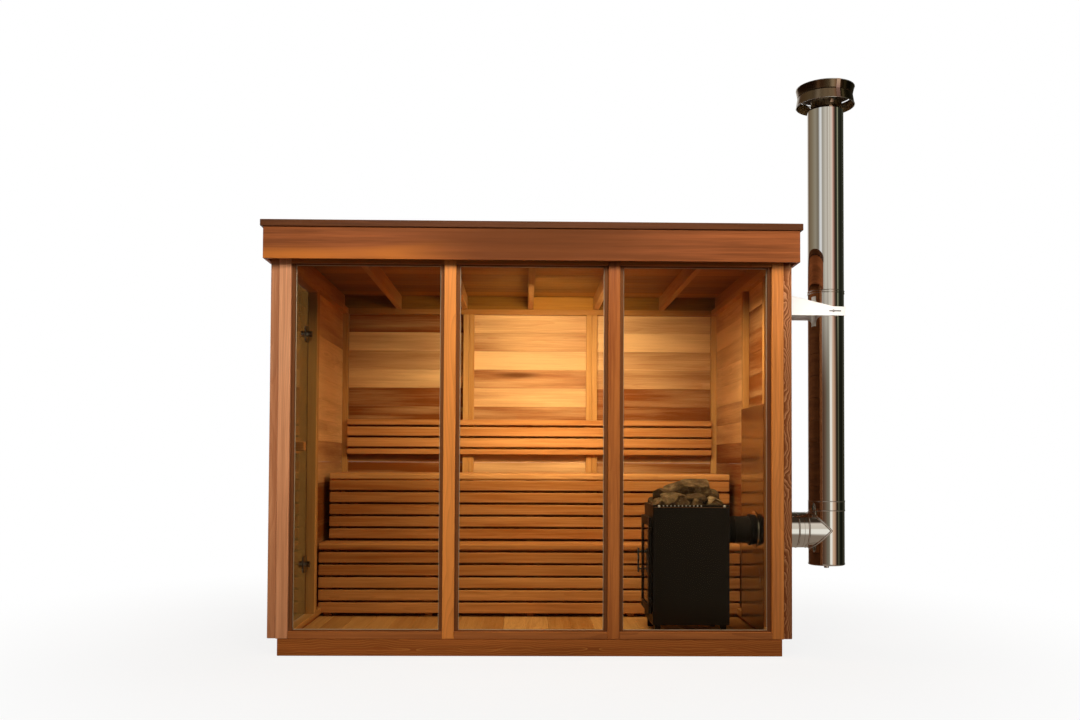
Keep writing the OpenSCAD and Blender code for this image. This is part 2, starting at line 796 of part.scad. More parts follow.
// Two lengths of pipe, the upper one with a sloped shoulder
module chimney_pipes() {
  slope = pipe_r - flue_r - 3;
  color("silver") {
    difference() {
      up(pipe_r, tee_hi, joint_z - touch);
      up(flue_r, tee_hi - 1, joint_z);
    }
    translate([chimney_x, front + flue_y, joint_z]) rotate_extrude()
      polygon([[flue_r, 0], [pipe_r, 0], [pipe_r, chimney_top - slope - joint_z],
        [pipe_r - slope, chimney_top - joint_z], [flue_r, chimney_top - joint_z]]);
  }
}

module chimney_locking_bands() {
  color("gainsboro") for (span = [[tee_hi - 30, tee_hi + 30], [joint_z - 10, joint_z + 10]]) difference() {
    up(pipe_r + 3, span[0], span[1]);
    up(pipe_r + 0.2, span[0] - 1, span[1] + 1);
  }
}

// Two plates either side of the pipe on a plate on the wall
module chimney_wall_bracket() {
  z = wall_top - bracket_drop;
  near = half_out + bracket_t;
  tip = chimney_x + 79;
  reach = pipe_r + 1;
  color("white") {
    for (y = [flue_y - reach - bracket_t, flue_y + reach])
      translate([0, front + y + bracket_t, 0]) rotate([90, 0, 0]) linear_extrude(bracket_t)
        polygon([[near, z], [tip, z], [tip, z + bracket_tip - 2], [chimney_x + 12, z + bracket_tip], [near, z + bracket_h]]);
    block([half_out, flue_y - reach - bracket_t, z - 20], [near, flue_y + reach + bracket_t, z + bracket_h + 20]);
  }
}

// Rain cap: a closed lid that flares upwards over a skirt that flares
// downwards, held by three straps that bend in to a neck on the pipe
module chimney_cap() {
  neck = flue_r + 3;
  strap = 22;
  mid = cap_sheet / 2;
  lid_z = cap_h - lid_h;
  top = cap_z - chimney_top;
  color("silver") translate([chimney_x, front + flue_y, cap_z]) {
    rotate_extrude() polygon([[0, lid_z], [waist_r, lid_z], [cap_r - cap_sheet, cap_h], [0, cap_h]]);
    rotate_extrude() polygon([[waist_r - cap_sheet, skirt_h], [waist_r, skirt_h], [cap_r - cap_sheet, 0], [cap_r - 2 * cap_sheet, 0]]);
    rotate_extrude() translate([flue_r, -top]) square([neck - flue_r, top + skirt_h / 2]);
    for (a = [-80, 40, 160]) rotate([0, 0, a]) rotate([90, 0, 0]) translate([0, 0, -strap / 2]) linear_extrude(strap) {
      polygon([[cap_r - 3 * mid, 0], [cap_r, 0], [waist_r + cap_sheet, skirt_h], [waist_r + cap_sheet, lid_z],
        [cap_r, cap_h], [cap_r - 3 * mid, cap_h], [waist_r - mid, lid_z], [waist_r - mid, skirt_h]]);
      polygon([[neck - cap_sheet, 0], [neck - cap_sheet, cap_sheet], [waist_r - mid, skirt_h - mid],
        [waist_r - mid, skirt_h - 3 * mid]]);
    }
  }
}

base_rim();
floor_joists();
floor_boards();
front_posts();
front_rails();
front_panes();
glazing_beads();
right_wall();
left_wall();
back_wall();
wall_plates();
wall_studs();
corner_boards();
door_frame();
door_glass();
door_handle();
door_fittings();
door_hinge_clamps();
door_hinge_leaves();
rafters();
rafter_blocking();
roof_boards();
roofing_sheet();
fascias();
roof_cap();
upper_bench_seat();
upper_bench_skirt();
lower_bench_seat();
lower_bench_skirt();
bench_legs();
bench_bearers();
backrest();
backrest_battens();
heat_shield();
stove_body();
stove_stones();
stove_door_frame();
stove_door_glass();
stove_door_handle();
stove_flue_pipe();
flue_wall_collar();
flue_branch();
chimney_tee();
chimney_tee_cap();
chimney_pipes();
chimney_locking_bands();
chimney_wall_bracket();
chimney_cap();
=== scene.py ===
# %% [markdown]
# # A cube sauna in boards, glass and polished pipe
#
# The real thing is a small cedar cabin with three fixed panes across its
# front, a glass door in its left wall, slatted benches, a stove with stones
# and a steel chimney. Its measured solids come in as a frame. Modelled afresh
# they would drift from their sizes, so this lesson dresses them: it cuts walls
# into boards, rounds edges, adds small parts and gives each surface its finish.

# %% Load the frame
import math
import random
import bmesh
import bpy
import numpy as np
from mathutils import Matrix, Vector, noise


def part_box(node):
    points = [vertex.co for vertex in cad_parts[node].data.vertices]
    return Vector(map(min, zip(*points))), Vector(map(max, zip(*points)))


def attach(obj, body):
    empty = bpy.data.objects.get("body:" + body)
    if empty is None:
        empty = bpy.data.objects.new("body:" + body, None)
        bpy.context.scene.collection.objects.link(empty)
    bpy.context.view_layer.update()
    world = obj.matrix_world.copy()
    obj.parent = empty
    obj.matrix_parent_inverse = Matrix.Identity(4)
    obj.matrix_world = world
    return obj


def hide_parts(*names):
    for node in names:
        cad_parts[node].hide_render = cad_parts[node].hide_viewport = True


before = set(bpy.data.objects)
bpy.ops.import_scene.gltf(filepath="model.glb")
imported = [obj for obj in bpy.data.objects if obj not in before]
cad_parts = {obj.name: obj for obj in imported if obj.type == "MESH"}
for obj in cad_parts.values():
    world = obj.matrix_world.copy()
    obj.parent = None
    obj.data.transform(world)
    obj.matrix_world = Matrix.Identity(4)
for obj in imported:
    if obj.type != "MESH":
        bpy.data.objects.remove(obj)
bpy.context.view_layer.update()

# %% [markdown]
# ## The camera
#
# A camera is a place, three directions and a lens. This one stands 5.2 m in
# front of the glass at about chest height. Tilted up to the chimney it would
# make upright posts lean, so its frame is shifted upwards instead, the way an
# architect's camera is.

# %% Camera
scene = bpy.context.scene
scene.view_settings.view_transform = "Standard"

YAW, PITCH, ROLL = 0.01711, 0.02680, 0.00482                # radians
EYE = (-0.04028, -6.13457, 1.02014)                         # metres
SENSOR_MM, LENS_MM = 36, 33.221
SHIFT = (-0.00106, 0.06916)                                 # shares of the sensor's width
forward = Vector((math.sin(YAW) * math.cos(PITCH), math.cos(YAW) * math.cos(PITCH),
                  math.sin(PITCH)))
level = Vector((math.cos(YAW), -math.sin(YAW), 0))
over = level.cross(forward)
right = level * math.cos(ROLL) + over * math.sin(ROLL)
up = over * math.cos(ROLL) - level * math.sin(ROLL)
lens = bpy.data.cameras.new("camera")
lens.sensor_width, lens.lens = SENSOR_MM, LENS_MM
lens.shift_x, lens.shift_y = SHIFT
camera = bpy.data.objects.new("camera", lens)
scene.collection.objects.link(camera)
facing = Matrix((right, up, -forward)).transposed().to_4x4()
camera.matrix_world = Matrix.Translation(EYE) @ facing
scene.camera = camera
print("camera", [round(v, 2) for v in camera.location], "lens", lens.lens)

# %% [markdown]
# ## Colours and nodes
#
# Colours are written as the hex codes a paint chart uses. Blender mixes light
# in linear numbers, so one function converts them. A second function adds a
# shader node with its settings and its inputs; every finish below is made
# with it.

# %% Colour and node helpers
def tint(code):
    """Linear RGBA of an sRGB hex code such as 'C88A5E'."""
    parts = [int(code[i:i + 2], 16) / 255 for i in (0, 2, 4)]
    return [v / 12.92 if v <= 0.04045 else ((v + 0.055) / 1.055) ** 2.4 for v in parts] + [1.0]


def add(tree, kind, inputs=(), settings=None):
    """Adds one shader node. inputs are listed in the node's order, or by name or number. Each is
    a node, which gives its first output in use, one output of a node, or a value. The setting
    'stops' is a colour ramp's list of (place, hex code)."""
    new = tree.nodes.new("ShaderNode" + kind)
    for key, value in (settings or {}).items():
        if key == "stops":
            bits = new.color_ramp.elements
            while len(bits) < len(value):
                bits.new(0.5)
            for bit, (place, code) in zip(bits, sorted(value)):
                bit.position, bit.color = place, tint(code)
        else:
            setattr(new, key, value)
    for key, value in inputs.items() if isinstance(inputs, dict) else enumerate(inputs):
        if isinstance(value, bpy.types.Node):
            value = next(output for output in value.outputs if output.enabled)
        if isinstance(value, bpy.types.NodeSocket):
            tree.links.new(value, new.inputs[key])
        else:
            new.inputs[key].default_value = value
    return new


def blank(name):
    """An empty material and its node tree."""
    made = bpy.data.materials.new(name)
    made.use_nodes = True
    made.node_tree.nodes.clear()
    return made, made.node_tree


COLOURS = {"data_type": "RGBA"}                      # makes a Mix node mix colours
SHARE, ONE, TWO = 0, 6, 7                            # the inputs of such a node
EASED = {"interpolation_type": "SMOOTHSTEP"}         # makes a Map Range start and end softly
ADD, TIMES, LARGER = {"operation": "ADD"}, {"operation": "MULTIPLY"}, {"operation": "MAXIMUM"}
print("C88A5E is", [round(v, 3) for v in tint("C88A5E")])

# %% [markdown]
# ## The studio
#
# The cabin stands on a pale floor in front of white. What the eye sees
# directly, or through glass, is that white. Polished steel needs more: a
# mirror looks like metal only when it has a bright side and a dark side to
# show. So for glossy rays the world is a studio hall. An image of a hall could
# do that, but two colour ramps round the compass need no file: one for its
# upper part and one for the part near the floor, under a dark ceiling.

# %% World
# Degrees from straight ahead of the cabin, plus to its right, and the colour there.
HALL_ABOVE = (
    (-170, "F4F3F0"), (-150, "76614B"), (-110, "8A7E68"), (-84, "9E9787"), (-62, "7E7668"),
    (-52, "E4E9EE"), (-44, "F4F7FA"), (-36, "A8A49A"), (-14, "D8D4CA"), (0, "B8B0A6"),
    (4, "F8F6EC"), (8, "C8C2B6"), (22, "EAE2D6"), (30, "E2B8AA"), (38, "8A6658"), (48, "2E2A20"),
    (60, "33342A"), (66, "B4B89A"), (72, "33342A"), (96, "1E2018"), (130, "414136"),
    (160, "414136"), (172, "F4F3F0"))
HALL_BELOW = (
    (-170, "F4F3F0"), (-150, "3A2A20"), (-60, "2A1A12"), (-50, "3F2A1E"), (-44, "C8A88E"),
    (-38, "4F3627"), (-24, "6A5343"), (-6, "797668"), (4, "8A8476"), (9, "FFFFF8"),
    (19, "FFFFF8"), (24, "E1C3AB"), (34, "D0AE92"), (42, "B18F76"), (50, "3A3026"),
    (62, "26241A"), (68, "6A6A54"), (74, "22221A"), (97, "14160E"), (130, "464438"),
    (160, "464438"), (172, "F4F3F0"))
ROOM_LIGHT = 0.11      # how much plain light the world adds to everything

world = bpy.data.worlds.new("studio")
scene.world = world
world.use_nodes = True
tree = world.node_tree
tree.nodes.clear()
way = add(tree, "SeparateXYZ", [add(tree, "TexCoord").outputs["Generated"]])
back_way = add(tree, "Math", [way.outputs["Y"], -1.0], TIMES)
around = add(tree, "Math", [way.outputs["X"], back_way], {"operation": "ARCTAN2"})
compass = add(tree, "MapRange", {"Value": around, "From Min": -math.pi, "From Max": math.pi})
above, below = [add(tree, "ValToRGB", [compass],
    {"stops": [((a + 180) / 360, code) for a, code in half]}) for half in (HALL_ABOVE, HALL_BELOW)]
rise = add(tree, "MapRange", {"Value": way.outputs["Z"], "From Min": 0.06, "From Max": 0.19},
    EASED)
hall = add(tree, "Mix", {SHARE: rise, ONE: below, TWO: above}, COLOURS)
roof = add(tree, "MapRange", {"Value": way.outputs["Z"], "From Min": 0.6, "From Max": 0.8}, EASED)
hall = add(tree, "Mix", {SHARE: roof, ONE: hall, TWO: tint("3A3026")}, COLOURS)
path = add(tree, "LightPath").outputs
seen = add(tree, "Math", [path["Is Camera Ray"], path["Is Transmission Ray"]], LARGER)
plain = add(tree, "Background", [tint("F2E8DA"), ROOM_LIGHT])
mirrored = add(tree, "Background", [hall, 1.0])
white = add(tree, "Background", [tint("FFFFFF"), 1.0])
unseen = add(tree, "MixShader", [path["Is Glossy Ray"], plain, mirrored])
either = add(tree, "MixShader", [seen, unseen, white])
add(tree, "OutputWorld", [either])
print("studio hall of", len(tree.nodes), "nodes")

# %% [markdown]
# ## The floor
#
# Near the cabin the floor is a matt sheet that keeps its shadow. Further out
# it turns into plain white, so that it has no edge in view. A backdrop that
# curves up would do that too, but would stand in the way of the lamps. In
# mirrors the floor is a dull brown near the cabin and then gone.

# %% Floor
FLOOR_RADIUS, FLOOR_DROP = 14, 0.0005      # the drop keeps it clear of the cabin's underside
bm = bmesh.new()
bmesh.ops.create_circle(bm, cap_ends=True, segments=96, radius=FLOOR_RADIUS)
floor_mesh = bpy.data.meshes.new("studio_floor")
bm.to_mesh(floor_mesh)
bm.free()
studio_floor = bpy.data.objects.new("studio_floor", floor_mesh)
studio_floor.location.z = -FLOOR_DROP
scene.collection.objects.link(studio_floor)

paper, tree = blank("pale_studio_floor")      # matt paper: a soft shadow and no shine
path = add(tree, "LightPath").outputs
seen = add(tree, "Math", [path["Is Camera Ray"], path["Is Transmission Ray"]], LARGER)
away = add(tree, "VectorMath", [add(tree, "TexCoord").outputs["Object"]], {"operation": "LENGTH"})
white_share = add(tree, "MapRange", {"Value": away, "From Min": 1.6, "From Max": 4.0,
    "To Min": 0.84, "To Max": 1.0}, EASED)
gone_share = add(tree, "MapRange", {"Value": away, "From Min": 2.4, "From Max": 3.2})
matt = add(tree, "BsdfDiffuse", [tint("E4E1DC")])
duller = add(tree, "BsdfDiffuse", [tint("8E7C68")])
glow = add(tree, "Emission", [tint("FFFFFF"), 1.0])
hall_floor = add(tree, "Emission", [tint("8C7F72"), 1.0])
gone = add(tree, "BsdfTransparent", [tint("FFFFFF")])
mirrored = add(tree, "MixShader", [gone_share, hall_floor, gone])
lit = add(tree, "MixShader", [white_share, matt, glow])
unseen = add(tree, "MixShader", [path["Is Glossy Ray"], duller, mirrored])
either = add(tree, "MixShader", [seen, unseen, lit])
add(tree, "OutputMaterial", [either])
floor_mesh.materials.append(paper)
print("floor is", 2 * FLOOR_RADIUS, "m across")

# %% [markdown]
# ## Lamps
#
# One broad lamp hangs in front of the cabin, a little over its eaves, with a
# narrowed spread. It makes the tops of the posts bright and lets their feet
# fall off. Weaker lamps fill the sides, the back and the bracket. Two lamps
# inside do what the lamp of a real sauna does: one picks out the middle of the
# back wall and one shines down. Mirrors don't show the lamps, only the hall.

# %% Lamps
LAMPS = (      # name, size, place, target, power in watts, colour, spread in degrees
    ("key", (3.0, 0.8), (-0.1, -3.1, 2.85), (0, -0.89, 2.1), 44, "FFF3E4", 135),
    ("right_front", (0.8, 1.6), (3.6, -3.2, 2.9), (1.5, -0.7, 2.2), 8, "FFF3E4", 80),
    ("left_front", (0.8, 0.8), (-2.4, -3.4, 1.6), (-0.9, -0.9, 0.6), 2.8, "FFE8CC", 60),
    ("bracket_front", (0.3, 0.3), (1.9, -2.2, 2.1), (1.6, -0.6, 1.9), 0.6, "FFFFFF", 40),
    ("right_side", (2.0, 2.2), (5.2, 0.6, 2.6), (1.3, 0.4, 1.2), 46, "FFF6EC", 180),
    ("left_side", (2.0, 2.2), (-5.2, 0.2, 2.6), (-1.3, 0.2, 1.2), 60, "FFF8F2", 180),
    ("rear", (3.0, 1.6), (0.6, 4.9, 3.2), (0, 0.9, 1.2), 130, "FFFFFF", 180),
    ("top", (2.4, 2.0), (0, 0.4, 6.0), (0, 0, 2.2), 95, "FFFFFF", 180),
    ("room", (0.5, 0.15), (0.22, -0.38, 1.88), (0.08, 0.86, 1.5), 11.5, "FFE8C8", 105),
    ("room_down", (1.2, 0.2), (0.45, -0.70, 1.95), (0.45, -0.35, 0.2), 25, "FFE4C0", 170))
for name, size, place, target, power, colour, spread in LAMPS:
    data = bpy.data.lights.new(name, "AREA")
    data.shape, data.size, data.size_y = "RECTANGLE", size[0], size[1]
    data.energy, data.color, data.spread = power, tint(colour)[:3], math.radians(spread)
    lamp = bpy.data.objects.new(name, data)
    scene.collection.objects.link(lamp)
    lamp.location = place
    aim = Vector(target) - Vector(place)
    lamp.rotation_euler = aim.to_track_quat("-Z", "Y").to_euler()
    lamp.visible_camera = lamp.visible_glossy = lamp.visible_transmission = False
print("lamps:", len(LAMPS))

# %% [markdown]
# ## Wood
#
# All the timber is western red cedar, planed smooth. Clear inside, it runs
# from straw to red-brown, board by board. Outside it is stained. Growth rings
# are cylinders round the tree's heart: where a board cuts them flat they show
# as long pointed arches, and where it cuts them upright they show as straight
# lines. A flat stripe pattern would miss that, so the pattern is a solid one:
# rings round an axis that lies beside each board, bent a little by slow noise.
# Each board carries numbers of its own in its mesh: "grain", a place measured
# along, across and through the board, "tone", how dark it is, and "side", how
# far across its width a place lies. A ring is 2 to 3 mm wide on real cedar; it
# is drawn 5 to 11 mm wide here so that it can be seen from a few metres.

# %% Pattern helpers
def drawn_out(tree, where, cells, detail=2.0, rough=0.5):
    """Noise with stretched cells. cells is how many there are to a metre along each axis."""
    pulled = add(tree, "VectorMath", [where, cells], TIMES)
    return add(tree, "TexNoise", {"Vector": pulled, "Scale": 1.0, "Detail": detail,
        "Roughness": rough})


NOISE_LOW, NOISE_HIGH = 0.3, 0.7      # nearly all noise stays between these


def varied(tree, start, *layers):
    """A number from 0 to 1: start, moved up and down by patterns. A layer is (pattern, how far it
    moves the number from end to end, and the pattern's ends where they aren't those of noise)."""
    for number, (pattern, swing, *ends) in enumerate(layers):
        lo, hi = ends or (NOISE_LOW, NOISE_HIGH)
        moved = add(tree, "MapRange", {"Value": pattern, "From Min": lo, "From Max": hi,
            "To Min": -swing / 2, "To Max": swing / 2}, {"clamp": False})
        last = number == len(layers) - 1
        start = add(tree, "Math", [start, moved], {"operation": "ADD", "use_clamp": last})
    return start


print("noise is read from", NOISE_LOW, "to", NOISE_HIGH)

# %% Cedar
RING_MM = 314.0      # a wave texture of scale 1 has rings this wide
BEND = 0.055         # how far rings wander off their circle, in metres
CALM = 0.35          # how wild ordinary rings are


def cedar(name, pale, dark, line, ring=6, lines=0.3, streak=0.5, broad=0.1, spread=0.6,
          rough=0.5, coat=0.0, sap=None, spots=(), wild=CALM, sharp=2.6):
    """Planed cedar. ring is the ring width in mm, sharp how narrow its dark line is and wild how
    much it wanders. lines, streak, broad and spread say how strongly rings, streaks, broad bands
    and each board's own tone show. sap is a paler edge: its colour, the x where it is full and
    the x where it ends. spots are darker marks, for a knot and for painted shade: place, half
    size and strength."""
    made, tree = blank(name)
    grain = add(tree, "Attribute", (), {"attribute_name": "grain"}).outputs["Vector"]
    tone = add(tree, "Attribute", (), {"attribute_name": "tone"}).outputs["Fac"]
    place = add(tree, "TexCoord").outputs["Object"]

    def streaks(along, across, detail=2.0, roughness=0.55):
        return drawn_out(tree, grain, (along, across, across), detail, roughness)

    drift = streaks(1.1 + 2.0 * max(wild - CALM, 0), 7.0, 2.0, 0.45).outputs["Color"]
    shift = add(tree, "VectorMath", [drift, (0, BEND, BEND), (0, -BEND / 2, -BEND / 2)],
        {"operation": "MULTIPLY_ADD"})
    bent = add(tree, "VectorMath", [grain, shift], ADD)
    rings = add(tree, "TexWave", {"Vector": bent, "Scale": RING_MM / ring, "Distortion": wild,
        "Detail": 2.0, "Detail Scale": 0.6}, {"wave_type": "RINGS", "rings_direction": "X",
        "wave_profile": "SAW"})
    late = add(tree, "Math", [rings.outputs["Fac"], sharp], {"operation": "POWER"})
    fibres = streaks(9.0, 420.0, 2.0, 0.6)
    share = varied(tree, 0.5, (streaks(0.9, 26.0, 3.0), streak), (streaks(1.3, 9.0, 1.0), broad),
        (streaks(2.5, 90.0), streak * 0.7), (tone, spread, 0.0, 1.0), (fibres, 0.14))
    colour = add(tree, "Mix", {SHARE: share, ONE: tint(pale), TWO: tint(dark)}, COLOURS)
    lined = add(tree, "Math", [late, lines], TIMES)
    colour = add(tree, "Mix", {SHARE: lined, ONE: colour, TWO: tint(line)}, COLOURS)
    if sap:
        sap_colour, full_x, end_x = sap
        side = add(tree, "Attribute", (), {"attribute_name": "side"}).outputs["Fac"]
        wander = varied(tree, side, (streaks(0.8, 6.0, 1.0), 0.9))
        edge = add(tree, "MapRange", {"Value": wander, "From Min": 0.55, "From Max": 0.05,
            "To Min": 0.0, "To Max": 0.8}, EASED)
        east = add(tree, "SeparateXYZ", [place]).outputs["X"]
        fading = add(tree, "MapRange", {"Value": east, "From Min": full_x, "From Max": end_x,
            "To Min": 1.0, "To Max": 0.0}, EASED)
        there = add(tree, "Math", [edge, fading], TIMES)
        colour = add(tree, "Mix", {SHARE: there, ONE: colour, TWO: tint(sap_colour)}, COLOURS)
    # A knot's mark and the fascia's painted shade are both mixed towards one dark brown.
    for centre, half, strength in spots:
        where = add(tree, "VectorMath", [place, centre], {"operation": "SUBTRACT"})
        near = add(tree, "VectorMath", [where, half], {"operation": "DIVIDE"})
        reach = add(tree, "VectorMath", [near], {"operation": "LENGTH"})
        mark = add(tree, "MapRange", {"Value": reach, "From Min": 0.15, "From Max": 1.0,
            "To Min": strength, "To Max": 0.0}, EASED)
        colour = add(tree, "Mix", {SHARE: mark, ONE: colour, TWO: tint("5A2E0A")}, COLOURS)
    height = add(tree, "Math", [late, fibres], ADD)
    bump = add(tree, "Bump", {"Height": height, "Strength": 0.12, "Distance": 0.001})
    shine = add(tree, "MapRange", {"Value": fibres, "From Min": NOISE_LOW, "From Max": NOISE_HIGH,
        "To Min": rough - 0.06, "To Max": rough + 0.06})
    surface = add(tree, "BsdfPrincipled", {"Base Color": colour, "Roughness": shine,
        "Normal": bump, "Specular IOR Level": 0.3, "Coat Weight": coat, "Coat Roughness": 0.3})
    add(tree, "OutputMaterial", [surface])
    return made


print("a ring 6 mm wide needs a wave of scale", round(RING_MM / 6, 1))

# %% Clear cedar, inside
knot = ((-0.085, 0.87, 1.625), (0.22, 0.2, 0.032), 0.95)      # one long dark knot, back wall
# Wall boards: no two alike, straw beside red-brown, which gives the room its stripes.
clear_cedar = cedar("clear_cedar_boards", "EDBC7C", "7A3E12", "A0581F", lines=0.25, streak=0.22,
    broad=0.34, spread=0.95, rough=0.55, spots=[knot])
# Bench slats: sanded for bare skin, so smoother and more alike, a warm orange.
bench_cedar = cedar("clear_cedar_slats", "DDA05E", "A05E26", "935020", ring=5, lines=0.25,
    streak=0.45)
# Framing: left as it comes from the planer, a dull yellow-brown.
frame_cedar = cedar("clear_cedar_framing", "D4A05C", "9C642C", "864E18", streak=0.3, rough=0.6)
# Roof boards: darker than the other clear cedar, painted shade that keeps the ceiling deep.
roof_cedar = cedar("roof_boards_painted_shade", "B4782C", "6A420F", "5E380C", streak=0.3,
    spread=0.7, rough=0.6)
print("clear cedar:", clear_cedar.name, bench_cedar.name, frame_cedar.name, roof_cedar.name)

# %% Stained cedar, outside
shaded = ((0.0, -0.966, 2.18), (1.1, 0.3, 0.2), 0.85)         # painted shade: darker middle of the front fascia
# Posts: oil stain under a thin satin coat, orange with a soft sheen.
stained_posts = cedar("stained_cedar_posts", "EA9648", "8A4414", "8A4416", lines=0.25,
    streak=0.36, spread=0.9, rough=0.4, coat=0.3)
# The left post and corner boards: paler and pinker under the same coat, a painted sheen
# of light from above on the left.
painted_sheen_posts = cedar("stained_cedar_left_post_painted_sheen", "F2B286", "A2643E", "8E4A1E", lines=0.25,
    streak=0.36, spread=0.9, rough=0.4, coat=0.3)
# Outer wall boards: a walnut-brown stain that still shows each board.
stained_walls = cedar("stained_cedar_boards", "985C32", "60361A", "6E3C1C", lines=0.28,
    streak=0.4, spread=0.7, coat=0.1)
# Glazing beads: dark and plain, a thin frame round each pane.
bead_cedar = cedar("stained_cedar_beads", "8A5830", "5A3218", "4A2610", lines=0.2, streak=0.4,
    spread=0.4)
# Sill and the door's outer frame: mid-brown, a little bleached.
sill_cedar = cedar("stained_cedar_sill", "C27A42", "8E5228", "6A3A1C", ring=7, spread=0.4)
# Right corner boards: flat-sawn, with pale wild figure on dark stain.
figured_cedar = cedar("stained_figured_boards", "884A22", "5E2E0E", "DDA070", ring=5, lines=0.8,
    spread=0.4, wild=2.6, sharp=2.2)
# Fascia: red-brown and streaky, with a strip of pale sapwood at its left end and painted
# shade darkening its middle.
dark_fascia = cedar("dark_stained_cedar", "AA6236", "784220", "6E3A16", ring=8, streak=0.8,
    spread=0.3, sap=("CC7A32", -0.85, -0.25), spots=[shaded])
# Cap board: the darkest stain, a firm line on top.
dark_cap = cedar("dark_stained_cap", "643819", "44240F", "3A1E0C", ring=7, lines=0.4, streak=0.6,
    spread=0.3, coat=0.1)
# Base rim: coarse boards whose rings stand out pale and wavy.
dark_rim = cedar("dark_stained_rim", "BC6C32", "8A4A1A", "D8924A", ring=11, lines=0.6,
    spread=0.4, wild=2.0, sharp=4.0)
print("stained:", stained_posts.name, stained_walls.name, dark_fascia.name, dark_rim.name)

# %% [markdown]
# ## Metal
#
# The chimney is stainless steel, polished on the outside. Polished metal has
# hardly a colour of its own: it shows the hall, slightly blurred. Rolled sheet
# is never quite flat, so a very shallow bump, drawn out along the pipe, makes
# its reflections waver; a perfect cylinder would look like plastic. Where heat
# and smoke reach it, the steel is browner and duller.

# %% Metals
def steel(name, colour, rough, wave=0.0, brushed=0.0, along=(1.0, 1.0, 0.12)):
    """Stainless steel: polished where rough is small. wave is the depth of its dents in metres,
    along how they are stretched, and brushed how strongly fine scratches show."""
    made, tree = blank(name)
    where = add(tree, "TexCoord").outputs["Object"]
    dents = drawn_out(tree, where, [7.0 * share for share in along], 1.0)
    scratches = drawn_out(tree, where, (900.0, 900.0, 20.0))      # about 1 mm apart
    gloss = varied(tree, rough, (dents, rough * 0.5), (scratches, 0.02 + brushed / 3))
    shallow = add(tree, "Bump", {"Height": dents, "Strength": 1.0, "Distance": wave})
    fine = add(tree, "Bump", {"Height": scratches, "Strength": brushed, "Distance": 0.0002,
        "Normal": shallow})
    surface = add(tree, "BsdfPrincipled", {"Base Color": tint(colour), "Metallic": 1.0,
        "Roughness": gloss, "Normal": fine})
    add(tree, "OutputMaterial", [surface])
    return made


# Outer skin of the chimney: a mirror with slow waves.
mirror_steel = steel("polished_stainless_steel", "E0DCD6", 0.035, wave=0.0008)
# Bands, collar rim and straps: rolled sheet as it comes, a soft silver.
band_steel = steel("rolled_stainless_bands", "DEDAD4", 0.14, wave=0.0004)
# Heat shield: bright sheet that shows the room as a warm blur.
shield_steel = steel("polished_steel_sheet", "B5AA98", 0.2, wave=0.002, along=(1.0, 1.0, 0.5))
# Rain cap: straw-brown, partly heat tint and partly a painted reflection of the dark hall.
cap_steel = steel("tinted_steel_painted_reflection", "806C54", 0.2, wave=0.0004)
# Hinges, fittings and handle: satin, finely brushed.
satin_steel = steel("satin_stainless_steel", "B9B8B5", 0.3, brushed=0.4)
# Weld and hems: nearly white, a painted highlight of the light they catch.
weld_and_hem_highlight = steel("weld_and_hem_painted_highlight", "ECE9E4", 0.3, brushed=0.2)
print("steels:", mirror_steel.name, band_steel.name, cap_steel.name, satin_steel.name)

# %% [markdown]
# ## Glass
#
# The panes are clear toughened glass, the door is bronze and the stove's
# window smoked. A path tracer finds the way of a lamp's light through glass
# only by chance, which leaves a room dark and noisy. So for a lamp's rays the
# glass steps aside and only holds back a little colour. Rays that a mirror
# reflects pass it too.

# %% Glass
STRAIGHT_ON = "4A443C"      # dims what a pane mirrors, as it does in a bright hall


def pane_glass(name, colour, through):
    """Flat clear glass. colour tints what is seen through it, through tints the lamps' light."""
    made, tree = blank(name)
    path = add(tree, "LightPath").outputs
    glass = add(tree, "BsdfPrincipled", {"Base Color": tint(colour), "Roughness": 0.0, "IOR": 1.5,
        "Transmission Weight": 1.0, "Specular Tint": tint(STRAIGHT_ON)})
    clear = add(tree, "BsdfTransparent", [tint(through)])
    passing = add(tree, "Math", [path["Is Shadow Ray"], path["Is Reflection Ray"]], LARGER)
    either = add(tree, "MixShader", [passing, glass, clear])
    add(tree, "OutputMaterial", [either])
    return made


clear_glass = pane_glass("clear_toughened_glass", "F4FAF7", "DAD4CA")      # hardly there
bronze_glass = pane_glass("bronze_toughened_glass", "6E4A20", "8A7050")    # a brown sheet
smoked_glass = pane_glass("smoked_stove_glass", "6A6058", "6A6058")        # grey-brown
print("glass:", clear_glass.name, bronze_glass.name, smoked_glass.name)

# %% [markdown]
# ## Paint, felt and stone
#
# Paint and enamel are coats: one colour, clouded a little, with a grain from
# how they were sprayed. The stones are peridotite, olive to brown and rough
# where it was split. It has no veins, so its colours come from layered noise.

# %% Coats
def coated(name, colour, other, rough, grit_mm, depth, metallic=0.0, coat=0.0, shiny=0.5):
    """A coat with a fine even grain. grit_mm is the size of the grain, depth its height."""
    made, tree = blank(name)
    where = add(tree, "TexCoord").outputs["Object"]
    cloud = add(tree, "TexNoise", {"Vector": where, "Scale": 3.0, "Detail": 3.0})
    grit = add(tree, "TexNoise", {"Vector": where, "Scale": 1000.0 / grit_mm, "Detail": 2.0})
    mixed = add(tree, "Mix", {SHARE: cloud, ONE: tint(colour), TWO: tint(other)}, COLOURS)
    shine = add(tree, "MapRange", {"Value": cloud, "From Min": NOISE_LOW, "From Max": NOISE_HIGH,
        "To Min": rough - 0.05, "To Max": rough + 0.05})
    bump = add(tree, "Bump", {"Height": grit, "Strength": 0.3, "Distance": depth})
    surface = add(tree, "BsdfPrincipled", {"Base Color": mixed, "Roughness": shine,
        "Normal": bump, "Metallic": metallic, "Coat Weight": coat, "Coat Roughness": 0.1,
        "Specular IOR Level": shiny})
    add(tree, "OutputMaterial", [surface])
    return made


